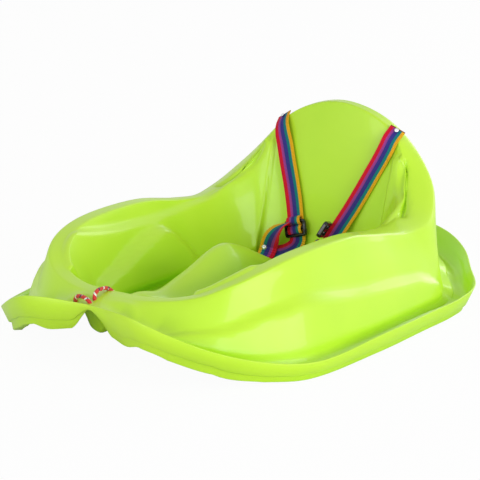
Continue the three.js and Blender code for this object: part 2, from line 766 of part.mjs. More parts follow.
// The rope's route: from its knot up through the deck, across it, down and up again beside it,
// over the tub's rim, down through the wall behind it and on under the pommel to the coil
const ropeRoute = [
  [-41, -284, 64], [-40, -288, 72], [-37, -292, 81], [-31, -294.5, 86.3], [-21, -296.5, 87.4],
  [-12, -298, 85], [-6, -298, 77], [3, -297.5, 71], [11, -294, 68], [10, -287.5, 68], [1, -284.5, 70],
  [-7, -286, 76], [-11.5, -287, 83], [-13, -283.5, 90], [-13.8, -277, 92.6], [-14, -270, 92.4],
  [-14, -262, 91.6], [-13, -256, 88.4], [-11.5, -250.5, 82.5], [-10, -245, 74.5], [-8, -239, 64.5],
  [-3, -230, 48], [4, -220, 29], [12, -207, 12], [21, -192, 4.2], [28, -172, 3.4], [33, -150, 3.8],
];
// The free end's route: off the coil and on to its knot
const ropeEndRoute = [[-29.6, -140, 8.6], [-30.5, -148, 7.4], [-32, -157, 7], [-34, -166, 7]];

const coilOuter = coilTurnRadius + turnsPerLayer * coilPitch / 2;
const coilInner = coilTurnRadius - turnsPerLayer * coilPitch / 2;

// The coil winds inwards, climbs in half a turn and winds outwards again, and runs straight for
// a rope's width at both ends
function coilRadius(turn) {
  const climbed = climbedAt(turn);
  const unwound = Math.max(turn - turnsPerLayer - 0.5, 0) - climbDipShare * Math.sin(climbed * Math.PI);
  return climbed === 0 ? coilOuter - turn * coilPitch : coilInner + unwound * coilPitch;
}

function climbedAt(turn) {
  return THREE.MathUtils.clamp((turn - turnsPerLayer) / 0.5, 0, 1);
}

function coilPoint(turn) {
  const angle = turn * 2 * Math.PI;
  const radius = coilRadius(turn);
  return new THREE.Vector3(radius * Math.cos(angle), radius * Math.sin(angle), climbedAt(turn) * coilPitch)
    .add(coilCentre);
}

function coilPoints() {
  const turns = 2 * turnsPerLayer - 0.5;
  const steps = Math.round(turns * stepsPerTurn);
  const wound = Array.from({ length: steps + 1 }, (_, step) => coilPoint(step / stepsPerTurn));
  const behind = new THREE.Vector3(0, -ropeDiameter, 0);
  return [wound[0].clone().add(behind), ...wound, wound[steps].clone().add(behind)];
}

const coilLine = coilPoints();

function leastGap(points, diameter) {
  let least = Infinity;
  points.forEach((point, index) => {
    for (let other = index + Math.round(stepsPerTurn / 2); other < points.length; other += 1) {
      least = Math.min(least, point.distanceTo(points[other]) - diameter);
    }
  });
  return least;
}
console.log(`least gap of the rope coil to itself ${leastGap(coilLine, ropeDiameter).toFixed(2)} mm`);

function tubeThrough(points, sides) {
  const rings = points.map((point, index) => {
    const before = points[Math.max(index - 1, 0)];
    const after = points[Math.min(index + 1, points.length - 1)];
    const along = after.clone().sub(before).normalize();
    const side = Math.abs(along.z) > 0.9 ? new THREE.Vector3(1, 0, 0) : new THREE.Vector3(0, 0, 1);
    const frame = frameAlong(point, along, side);
    return Array.from({ length: sides }, (_, corner) => {
      const angle = corner * 2 * Math.PI / sides;
      return new THREE.Vector3(ropeRadius * Math.cos(angle), ropeRadius * Math.sin(angle), 0).applyMatrix4(frame);
    });
  });
  return skinGeometry(rings, points[0], points[points.length - 1]);
}

// The rope's line up to the coil, and from the coil to its end knot
const coilGap = new THREE.Vector3(0, -clearance, 0);
const coilLead = new THREE.Vector3(0, -2 * ropeDiameter, 0);
const ropeLine = [
  ...ropeRoute.map((point) => new THREE.Vector3(...point)),
  coilLine[0].clone().add(coilLead),
  coilLine[0].clone().add(coilGap),
];
const ropeEndLine = [
  coilLine[coilLine.length - 1].clone().add(coilGap),
  ...ropeEndRoute.map((point) => new THREE.Vector3(...point)),
];

function ropeTube(points) {
  const path = new THREE.CatmullRomCurve3(points, false, 'centripetal');
  const section = new THREE.Shape(Array.from({ length: ropeSides }, (_, corner) => {
    const angle = corner * 2 * Math.PI / ropeSides;
    return new THREE.Vector2(ropeRadius * Math.cos(angle), ropeRadius * Math.sin(angle));
  }));
  const steps = Math.round(path.getLength() / ropeStep);
  return new THREE.ExtrudeGeometry(section, { steps, extrudePath: path, bevelEnabled: false });
}

// Holes where the rope goes through the sheet
function ropeHoles(points) {
  const line = new THREE.CatmullRomCurve3(points, false, 'centripetal').getPoints(points.length * 12);
  return line.slice(1).flatMap((point, index) => {
    const above = new THREE.Vector3(point.x, point.y, 2 * overallHeight);
    const sheet = firstHit(above, new THREE.Vector3(0, 0, -1));
    if (!sheet || (line[index].z - sheet.point.z) * (point.z - sheet.point.z) > 0) {
      return [];
    }
    const reach = point.clone().sub(line[index]).setLength(3 * sheetThickness);
    return [rodBetween(point.clone().add(reach), point.clone().sub(reach), deckHoleRadius)];
  });
}

function knotGeometry(end, before) {
  const away = end.clone().sub(before).normalize();
  const geometry = new THREE.SphereGeometry(knotRadius, 10, 7);
  geometry.scale(1, 1, knotLengthShare);
  const centre = end.clone().addScaledVector(away, knotRadius * knotLengthShare + clearance);
  return geometry.applyMatrix4(frameAlong(centre, away, new THREE.Vector3(1, 0, 0)));
}

// The tie goes round all turns where they pass nearest the bow
function coilTie() {
  const turns = [0.75, turnsPerLayer - 0.25].map(coilRadius);
  const grip = ropeRadius + 2 * clearance;
  const [outer, inner] = [turns[0] + grip, turns[1] - grip];
  const [low, high] = [-ropeRadius - clearance, coilPitch + ropeRadius + clearance];
  const loop = (grow) => [
    [inner - grow, low - grow], [outer + grow, low - grow], [outer + grow, high + grow], [inner - grow, high + grow],
  ].map(([x, y]) => new THREE.Vector2(x, y));
  const shape = new THREE.Shape(loop(tieThickness));
  shape.holes.push(new THREE.Path(loop(0)));
  const geometry = new THREE.ExtrudeGeometry(shape, { depth: tieWidth, bevelEnabled: false });
  geometry.translate(0, 0, -tieWidth / 2);
  const towardsBow = new THREE.Matrix4().makeBasis(
    new THREE.Vector3(0, -1, 0),
    new THREE.Vector3(0, 0, 1),
    new THREE.Vector3(-1, 0, 0),
  ).setPosition(coilCentre);
  return geometry.applyMatrix4(towardsBow);
}

// The whole sled

const sled = new THREE.Group();

function place(name, geometry, material) {
  const mesh = new THREE.Mesh(geometry, material);
  mesh.name = name;
  sled.add(mesh);
}

place('tub_shell', cut(shellSkin, [...anchorHoles, ...ropeHoles(ropeLine)]), lime);
Object.keys(harnessShares).forEach((name) => {
  const adjuster = adjusterPlace(name);
  const sideways = adjuster.up.clone().cross(adjuster.facing);
  const frame = new THREE.Matrix4().makeBasis(sideways, adjuster.up, adjuster.facing).setPosition(adjuster.centre);
  place(`${name}_shoulder_strap`, cut(shoulderStrap(name), anchorHoles), webbing);
  place(`${name}_strap_tail`, cut(strapTail(name), anchorHoles), webbing);
  place(`${name}_strap_adjuster`, adjusterGeometry().applyMatrix4(frame), black);
});
Object.entries(anchors).forEach(([name, anchor]) => {
  place(`${name}_rivet`, rivetGeometry(anchor), steel);
  place(`${name}_washer`, washerGeometry(anchor), steel);
});
place('tow_rope', ropeTube(ropeLine), rope);
place('tow_rope_coil', tubeThrough(coilLine, coilSides), rope);
place('tow_rope_end', ropeTube(ropeEndLine), rope);
place('coil_tie', coilTie(), black);
place('deck_knot', knotGeometry(ropeLine[0], ropeLine[1]), rope);
place('end_knot', knotGeometry(ropeEndLine[ropeEndLine.length - 1], ropeEndLine[ropeEndLine.length - 2]), rope);

export default sled;
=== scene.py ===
"""Looks of the baby pull sled: a moulded lime tub, a rainbow webbing harness and a braided tow rope.

Places are written in millimetres, as in the CAD source, and become metres where a mesh is made.
+X is the left of the child who sits in the sled, -Y is the bow and +Z is up.
"""

import logging
import math
from dataclasses import dataclass
from enum import Enum
from typing import Sequence

import bmesh
import bpy
import numpy as np
from mathutils import Matrix, Vector
from mathutils.bvhtree import BVHTree

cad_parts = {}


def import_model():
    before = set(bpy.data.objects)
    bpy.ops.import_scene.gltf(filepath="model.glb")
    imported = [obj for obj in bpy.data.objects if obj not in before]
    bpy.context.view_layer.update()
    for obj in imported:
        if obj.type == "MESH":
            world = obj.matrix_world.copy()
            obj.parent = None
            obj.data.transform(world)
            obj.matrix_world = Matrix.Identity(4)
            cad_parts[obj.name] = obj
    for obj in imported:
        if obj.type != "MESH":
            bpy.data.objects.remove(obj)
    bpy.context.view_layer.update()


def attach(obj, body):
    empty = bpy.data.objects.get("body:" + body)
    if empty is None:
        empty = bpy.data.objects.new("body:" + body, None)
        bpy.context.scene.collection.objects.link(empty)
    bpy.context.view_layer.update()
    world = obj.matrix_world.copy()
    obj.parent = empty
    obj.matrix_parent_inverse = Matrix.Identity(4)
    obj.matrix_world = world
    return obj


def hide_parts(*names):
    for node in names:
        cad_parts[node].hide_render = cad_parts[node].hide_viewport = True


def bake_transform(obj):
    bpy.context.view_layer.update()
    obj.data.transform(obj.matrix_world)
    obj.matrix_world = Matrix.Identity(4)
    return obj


LOG = logging.getLogger("pull_sled")
MM = 0.001
WELD = 0.01
LEAST_GAP = 1e-4
TINY = 1e-9
Row = tuple[float, ...]
Pair = tuple[float, float]
Tree = bpy.types.NodeTree
Socket = bpy.types.NodeSocket
Material = bpy.types.Material
Piece = bpy.types.Object
Mesh = bmesh.types.BMesh
SIDE_VIEW = (1, 2)
FRONT_VIEW = (0, 2)


class Body(Enum):
    """The bodies that pieces ride on."""

    SLED = "sled"
    LEFT_ADJUSTER = "left_adjuster"
    RIGHT_ADJUSTER = "right_adjuster"


class Slot(Enum):
    """The record's material slots."""

    SHELL = "lime_shell"
    ADJUSTER = "black_adjuster"
    WEBBING = "rainbow_webbing"
    RIVET = "rivet_aluminium"
    ROPE = "tow_rope_braid"
    TIE = "tie_strip"


def linear(colour: str) -> tuple[float, float, float, float]:
    """Turns an sRGB hex colour into linear light.

    Args:
        colour: Six hex digits after a hash.

    Returns:
        Red, green, blue and an alpha of 1.
    """
    parts = [int(colour[place:place + 2], 16) / 255 for place in (1, 3, 5)]
    light = [part / 12.92 if part <= 0.04045 else ((part + 0.055) / 1.055) ** 2.4 for part in parts]
    return (light[0], light[1], light[2], 1.0)


def add_node(tree: Tree, kind: str, settings: dict, inputs: dict) -> bpy.types.Node:
    """Adds a node with its settings and its inputs.

    Args:
        tree: The material's or world's node tree.
        kind: The node's type name.
        settings: Values by property name.
        inputs: A value, or another node's output to link, by input name or number.

    Returns:
        The new node.
    """
    node = tree.nodes.new(kind)
    for name, value in settings.items():
        setattr(node, name, value)
    for name, value in inputs.items():
        if isinstance(value, Socket):
            tree.links.new(value, node.inputs[name])
        else:
            node.inputs[name].default_value = value
    return node


def maths(tree: Tree, operation: str, *values: float | Socket) -> Socket:
    """Works out one to three values with a maths node."""
    return add_node(tree, "ShaderNodeMath", {"operation": operation}, dict(enumerate(values))).outputs[0]


def noise(tree: Tree, size_mm: float, detail: float) -> Socket:
    """Adds noise that lies in the piece's own space.

    Args:
        tree: The material's node tree.
        size_mm: The width of its patches.
        detail: How many finer layers it has.

    Returns:
        The noise, about 0.5 on average.
    """
    place = add_node(tree, "ShaderNodeTexCoord", {}, {}).outputs["Object"]
    return add_node(tree, "ShaderNodeTexNoise", {}, {
        "Vector": place, "Scale": 1 / (size_mm * MM), "Detail": detail,
    }).outputs["Fac"]


def spread(tree: Tree, value: Socket, source: Pair, target: Pair) -> Socket:
    """Maps one range of a value on another, and holds it there.

    Args:
        tree: The material's or world's node tree.
        value: The value.
        source: The two ends of its range.
        target: What they become.

    Returns:
        The mapped value.
    """
    return add_node(tree, "ShaderNodeMapRange", {}, {
        "Value": value, "From Min": source[0], "From Max": source[1],
        "To Min": target[0], "To Max": target[1],
    }).outputs["Result"]


def bumps(tree: Tree, height: Socket, strength: float, depth_mm: float) -> Socket:
    """Turns a height into small bumps.

    Args:
        tree: The material's node tree.
        height: The height.
        strength: How much of the bumps shows.
        depth_mm: How deep they are for a height of 1.

    Returns:
        The surface's direction.
    """
    return add_node(tree, "ShaderNodeBump", {}, {
        "Height": height, "Strength": strength, "Distance": depth_mm * MM,
    }).outputs["Normal"]


def ramp(tree: Tree, value: Socket, stops: Sequence[tuple[float, str]]) -> Socket:
    """Turns a value into a colour.

    Args:
        tree: The material's node tree.
        value: The value, from 0 to 1.
        stops: Place from 0 to 1 and sRGB hex colour of each stop.

    Returns:
        The colour.
    """
    node = add_node(tree, "ShaderNodeValToRGB", {}, {"Fac": value})
    elements = node.color_ramp.elements
    while len(elements) < len(stops):
        elements.new(1.0)
    for element, (place, colour) in zip(elements, stops):
        element.position = place
        element.color = linear(colour)
    return node.outputs["Color"]


def mixed(tree: Tree, share: Socket, first: Row | Socket, second: Row | Socket) -> Socket:
    """Mixes two colours, with nothing but the second where the share is 1."""
    inputs = {"Factor": share, 6: first, 7: second}
    return add_node(tree, "ShaderNodeMix", {"data_type": "RGBA"}, inputs).outputs[2]


def band_places(tree: Tree) -> tuple[Socket, Socket]:
    """Reads the UV map that webbing and rope carry.

    Args:
        tree: The material's node tree.

    Returns:
        The place across or round the piece, from 0 to 1, and the place along it in metres.
    """
    place = add_node(tree, "ShaderNodeUVMap", {"uv_map": "band"}, {}).outputs["UV"]
    split = add_node(tree, "ShaderNodeSeparateXYZ", {}, {"Vector": place})
    return split.outputs["X"], split.outputs["Y"]


def empty_material(name: str) -> tuple[Material, Tree]:
    """Makes a material that has no nodes yet.

    Args:
        name: The real material's name.

    Returns:
        The material and its node tree.
    """
    material = bpy.data.materials.new(name)
    material.use_nodes = True
    material.node_tree.nodes.clear()
    return material, material.node_tree


def shade(tree: Tree, inputs: dict) -> None:
    """Ends a material with a principled surface that has these inputs."""
    surface = add_node(tree, "ShaderNodeBsdfPrincipled", {}, inputs).outputs[0]
    add_node(tree, "ShaderNodeOutputMaterial", {}, {"Surface": surface})


@dataclass(frozen=True)
class MouldedPolyethylene:
    """Injection moulded high density polyethylene: waxy gloss with soft-edged highlights.

    Its skin has a faint orange peel from the mould and cools to slightly uneven colour and gloss.
    """

    colour: str = "#C4EF2C"
    deep_colour: str = "#BEEC26"
    gloss: float = 0.4
    dull: float = 0.5
    skin: float = 0.25
    skin_gloss: float = 0.07
    cloud_mm: float = 90.0
    peel_mm: float = 2.6
    peel_depth_mm: float = 0.02
    refraction: float = 1.53

    def material(self) -> Material:
        """Builds the material.

        Returns:
            The moulded lime plastic.
        """
        material, tree = empty_material("HDPE_moulded_lime")
        cloud = noise(tree, self.cloud_mm, 3.0)
        peel = noise(tree, self.peel_mm, 1.0)
        shade(tree, {
            "Base Color": ramp(tree, cloud, ((0.35, self.deep_colour), (0.65, self.colour))),
            "Roughness": spread(tree, cloud, (0.3, 0.7), (self.gloss, self.dull)),
            "Normal": bumps(tree, peel, 0.25, self.peel_depth_mm),
            "IOR": self.refraction, "Coat Weight": self.skin, "Coat Roughness": self.skin_gloss,
        })
        return material


@dataclass(frozen=True)
class WovenPolypropylene:
    """Rainbow polypropylene webbing: soft, with fine cross ribs and lengthwise stripes.

    Its cut ends are sealed with heat, which leaves them hard and brown.
    """

    stripes: tuple[tuple[float, str], ...] = (
        (0.0, "#E20B34"), (0.225, "#E20B34"), (0.24, "#B0409C"), (0.385, "#94409A"),
        (0.4, "#3E3290"), (0.63, "#353592"), (0.645, "#0C7E84"), (0.81, "#0E8284"),
        (0.825, "#F4B41A"), (1.0, "#F4B218"),
    )
    sealed_colour: str = "#8A4A1E"
    sealed_mm: float = 1.6
    sealed_core_share: float = 0.7
    rib_mm: float = 1.9
    # How far the colour is darkened in the ribs' hollows and lightened on their tops: painted shade and
    # painted highlight.
    rib_painted_shading: Pair = (0.72, 1.12)
    rib_depth_mm: float = 0.22
    thread_mm: float = 0.9
    width_mm: float = 25.0
    roughness: float = 0.72
    refraction: float = 1.49
    shine: float = 0.25
    fuzz: float = 0.04

    def material(self) -> Material:
        """Builds the material. Its ribs are drawn twice as coarse as real ones, or none would show, and
        besides their bumps their shade and highlights are painted into its colour.

        Returns:
            The striped webbing, which reads the band's own UV map in metres along it.
        """
        material, tree = empty_material("polypropylene_webbing_rainbow")
        across, along = band_places(tree)
        threads = math.tau * self.width_mm / self.thread_mm
        thread = maths(tree, "SINE", maths(tree, "MULTIPLY", across, threads))
        ribs = math.tau / (self.rib_mm * MM)
        rib = maths(tree, "SINE", maths(tree, "MULTIPLY_ADD", along, ribs, thread))
        # The stripes' colour carries painted shade in the ribs' hollows and a painted highlight on their
        # tops, on top of the ribs' real bumps.
        stripes_with_painted_rib_shade = add_node(tree, "ShaderNodeVectorMath", {"operation": "SCALE"}, {
            "Vector": ramp(tree, across, self.stripes),
            "Scale": spread(tree, rib, (-1.0, 1.0), self.rib_painted_shading),
        })
        end = add_node(tree, "ShaderNodeAttribute", {"attribute_name": "from_end"}, {}).outputs["Fac"]
        seal = self.sealed_mm * MM
        sealed = spread(tree, end, (self.sealed_core_share * seal, seal), (1.0, 0.0))
        shade(tree, {
            "Base Color": mixed(tree, sealed, stripes_with_painted_rib_shade.outputs["Vector"], linear(self.sealed_colour)),
            "Normal": bumps(tree, rib, 0.6, self.rib_depth_mm), "Roughness": self.roughness,
            "IOR": self.refraction, "Specular IOR Level": self.shine,
            "Sheen Weight": self.fuzz, "Sheen Roughness": 0.4,
        })
        return material


@dataclass(frozen=True)
class HardFinish:
    """A hard, even coloured finish that handling has left slightly uneven in gloss."""

    name: str
    colour: str
    gloss: float
    dull: float
    wear_mm: float
    wear_detail: float
    wear_range: Pair
    refraction: float = 1.48
    is_metal: bool = False

    def material(self) -> Material:
        """Builds the material.

        Returns:
            The finish.
        """
        material, tree = empty_material(self.name)
        wear = noise(tree, self.wear_mm, self.wear_detail)
        kind = {"Metallic": 1.0} if self.is_metal else {"IOR": self.refraction}
        shade(tree, {
            "Base Color": linear(self.colour), **kind,
            "Roughness": spread(tree, wear, self.wear_range, (self.gloss, self.dull)),
        })
        return material


ACETAL = HardFinish("POM_moulded_black", "#101012", 0.16, 0.3, 6.0, 4.0, (0.35, 0.7))
NYLON = HardFinish("nylon_strip_black", "#101012", 0.35, 0.5, 6.0, 4.0, (0.35, 0.7))
ALUMINIUM = HardFinish("aluminium_pressed", "#D6D8DA", 0.24, 0.42, 0.6, 2.0, (0.3, 0.7), is_metal=True)


@dataclass(frozen=True)
class BraidedPolyester:
    """Round braided polyester rope: red, with one strand that shows white and navy by turns."""

    red: str = "#D9322A"
    white: str = "#F4F1EA"
    navy: str = "#1E2448"
    strands: int = 4
    lay_mm: float = 9.0
    strand_depth_mm: float = 0.35
    roughness: float = 0.7
    refraction: float = 1.54

    def phase(self, tree: Tree, round_it: Socket, along: Socket, way: float) -> Socket:
        """Adds the phase of one set of strands.

        Args:
            tree: The material's node tree.
            round_it: The place round the rope, from 0 to 1.
            along: The place along the rope in metres.
            way: 1 or -1, the way in which the strands wind.

        Returns:
            The phase, which grows by 1 from each strand to the next.
        """
        turned = maths(tree, "MULTIPLY", round_it, way * self.strands)
        return maths(tree, "MULTIPLY_ADD", along, self.strands / (self.lay_mm * MM), turned)

    @staticmethod
    def repeated(tree: Tree, phase: Socket, every: float, share: float) -> Socket:
        """Gives 1 for the first share of every so many strands and 0 for the rest."""
        return maths(tree, "LESS_THAN", maths(tree, "FRACT", maths(tree, "DIVIDE", phase, every)), share)

    def material(self) -> Material:
        """Builds the material. Its strands are drawn coarser than real ones, or none would show.

        Returns:
            The braid, which reads the rope's own UV map in metres along it.
        """
        material, tree = empty_material("polyester_braid_red")
        round_it, along = band_places(tree)
        phases = [self.phase(tree, round_it, along, way) for way in (1.0, -1.0)]
        is_white = self.repeated(tree, phases[1], 2 * self.strands, 0.5)
        is_fleck = self.repeated(tree, phases[0], self.strands, 1 / self.strands)
        fleck = mixed(tree, is_white, linear(self.navy), linear(self.white))
        waves = [maths(tree, "COSINE", maths(tree, "MULTIPLY", phase, math.tau)) for phase in phases]
        shade(tree, {
            "Base Color": mixed(tree, is_fleck, linear(self.red), fleck), "Sheen Weight": 0.15,
            "Normal": bumps(tree, maths(tree, "ADD", *waves), 0.5, self.strand_depth_mm),
            "Roughness": self.roughness, "IOR": self.refraction,
        })
        return material


def curve_through(points: np.ndarray, closed: bool, steps: int) -> np.ndarray:
    """Runs a centripetal Catmull-Rom curve through points, as the CAD source does.

    Args:
        points: One point a row. Further axes ride along, each with its own knot spacing.
        closed: Whether the last point joins the first.
        steps: Samples from each point to the next.

    Returns:
        The samples, with the last point too where the curve is open.
    """
    count = len(points)
    spans = count if closed else count - 1
    if closed:
        padded = np.concatenate([points[-1:], points, points[:2]])
    else:
        padded = np.concatenate([2 * points[:1] - points[1:2], points, 2 * points[-1:] - points[-2:-1]])
    gaps = np.maximum(np.sqrt(np.linalg.norm(np.diff(padded, axis=0), axis=-1, keepdims=True)), LEAST_GAP)
    samples = []
    for span in range(spans):
        before, start, end, after = padded[span:span + 4]
        gap0, gap1, gap2 = gaps[span:span + 3]
        leave = ((start - before) / gap0 - (end - before) / (gap0 + gap1) + (end - start) / gap1) * gap1
        arrive = ((end - start) / gap1 - (after - start) / (gap1 + gap2) + (after - end) / gap2) * gap1
        for step in range(steps):
            t = step / steps
            samples.append(
                start + leave * t + (-3 * start + 3 * end - 2 * leave - arrive) * t ** 2
                + (2 * start - 2 * end + leave + arrive) * t ** 3
            )
    if not closed:
        samples.append(padded[-2])
    return np.array(samples)


def unit(vectors: np.ndarray) -> np.ndarray:
    """Scales each vector to a length of 1."""
    return vectors / np.maximum(np.linalg.norm(vectors, axis=-1, keepdims=True), TINY)


def run_lengths(line: np.ndarray) -> np.ndarray:
    """Gives the distance along a line at each of its points."""
    return np.concatenate([[0], np.cumsum(np.linalg.norm(np.diff(line, axis=0), axis=1))])


def sampled(stops: np.ndarray, known: np.ndarray, values: np.ndarray) -> np.ndarray:
    """Reads rows of values that are known at some stops at other stops."""
    return np.stack([np.interp(stops, known, column) for column in values.T], axis=1)


def lay_grid(bm: Mesh, places: np.ndarray) -> list[list[bmesh.types.BMVert]]:
    """Lays a grid of faces, with a UV map, through places.

    Args:
        bm: The mesh.
        places: The places in millimetres, by row and column.

    Returns:
        The grid's vertices by row and column.
    """
    bm.loops.layers.uv.new("band")
    rows, columns = places.shape[0] - 1, places.shape[1] - 1
    made = bmesh.ops.create_grid(bm, x_segments=columns, y_segments=rows, size=1.0, calc_uvs=True)
    table = [[None] * (columns + 1) for _ in range(rows + 1)]
    for vert in made["verts"]:
        column = round((vert.co.x + 1) / 2 * columns)
        row = round((vert.co.y + 1) / 2 * rows)
        table[row][column] = vert
    for verts, spots in zip(table, places):
        for vert, spot in zip(verts, spots):
            vert.co = Vector(spot) * MM
    return table


def set_runs(bm: Mesh, runs: np.ndarray, turned: bool) -> None:
    """Sets a grid's UV map: the place across stays a share, and the place along becomes metres.

    Args:
        bm: The mesh.
        runs: The distance along the piece at each row of its grid, in millimetres.
        turned: Whether the place across is counted from the other side.
    """
    layer = bm.loops.layers.uv["band"]
    rows = np.arange(len(runs))
    for face in bm.faces:
        for loop in face.loops:
            across, along = loop[layer].uv
            run = float(np.interp(along * rows[-1], rows, runs)) * MM
            loop[layer].uv = (1 - across if turned else across, run)


def finished(name: str, bm: Mesh, material: Material) -> Piece:
    """Turns a mesh into a smooth piece at the origin.

    Args:
        name: The piece's name.
        bm: Its mesh, in metres and in place.
        material: Its finish.

    Returns:
        The piece.
    """
    mesh = bpy.data.meshes.new(name)
    bm.to_mesh(mesh)
    bm.free()
    mesh.polygons.foreach_set("use_smooth", [True] * len(mesh.polygons))
    mesh.materials.append(material)
    piece = bpy.data.objects.new(name, mesh)
    bpy.context.scene.collection.objects.link(piece)
    LOG.info("made %s with %d faces", name, len(mesh.polygons))
    return piece


def bake(piece: Piece, modifiers: dict[str, dict]) -> None:
    """Puts modifiers on a piece and bakes them into its mesh.

    Args:
        piece: The piece.
        modifiers: The settings of each modifier, by its type name.
    """
    for kind, settings in modifiers.items():
        modifier = piece.modifiers.new(kind.title(), kind)
        for name, value in settings.items():
            setattr(modifier, name, value)
    graph = bpy.context.evaluated_depsgraph_get()
    mesh = bpy.data.meshes.new_from_object(piece.evaluated_get(graph), depsgraph=graph)
    piece.modifiers.clear()
    piece.data = mesh


def distance_to(places: np.ndarray, line: np.ndarray) -> np.ndarray:
    """Measures how far places lie from a line of straight runs.

    Args:
        places: One place a row, in two or three axes.
        line: The line's corners, in the same axes.

    Returns:
        The distance of each place.
    """
    best = np.full(len(places), np.inf)
    for start, end in zip(line, line[1:]):
        run = end - start
        share = np.clip((places - start) @ run / (run @ run), 0, 1)
        best = np.minimum(best, np.linalg.norm(places - start - share[:, None] * run, axis=1))
    return best


@dataclass(frozen=True)
class Relief:
    """A raised or sunk line in the moulding, the same on both sides.

    Its places are on the +X side. It is as high as `height` on the line and fades over `fade`.
    """

    places: tuple[Row, ...]
    height: float
    fade: float

    def rise(self, places: np.ndarray) -> np.ndarray:
        """Gives how far the line moves places, given with x made positive, out of the upper face."""
        line = curve_through(np.array(self.places, float), False, 6)
        return self.height * np.exp(-(distance_to(places, line) / self.fade) ** 2)


@dataclass(frozen=True)
class Panel:
    """A part of the wall that is moulded further out of the sheet's face, the same on both sides.

    Its outline is on the +X side, in the two axes of its view, and its step is as wide as `fade`.
    """

    outline: tuple[Row, ...]
    view: tuple[int, int]
    height: float
    fade: float

    def rise(self, places: np.ndarray) -> np.ndarray:
        """Gives how far the panel moves places.

        Args:
            places: One place a row, with x made positive.

        Returns:
            The move of each place out of the upper face.
        """
        spots = places[:, list(self.view)]
        corners = np.array([*self.outline, self.outline[0]], float)
        within = np.zeros(len(spots), bool)
        for start, end in zip(corners, corners[1:]):
            run = end - start
            spans = (start[1] > spots[:, 1]) != (end[1] > spots[:, 1])
            crossing = start[0] + (spots[:, 1] - start[1]) * run[0] / (run[1] or TINY)
            within ^= spans & (spots[:, 0] < crossing)
        away = distance_to(spots, corners)
        depth = np.clip(0.5 + np.where(within, away, -away) / self.fade, 0, 1)
        return self.height * depth ** 2 * (3 - 2 * depth)


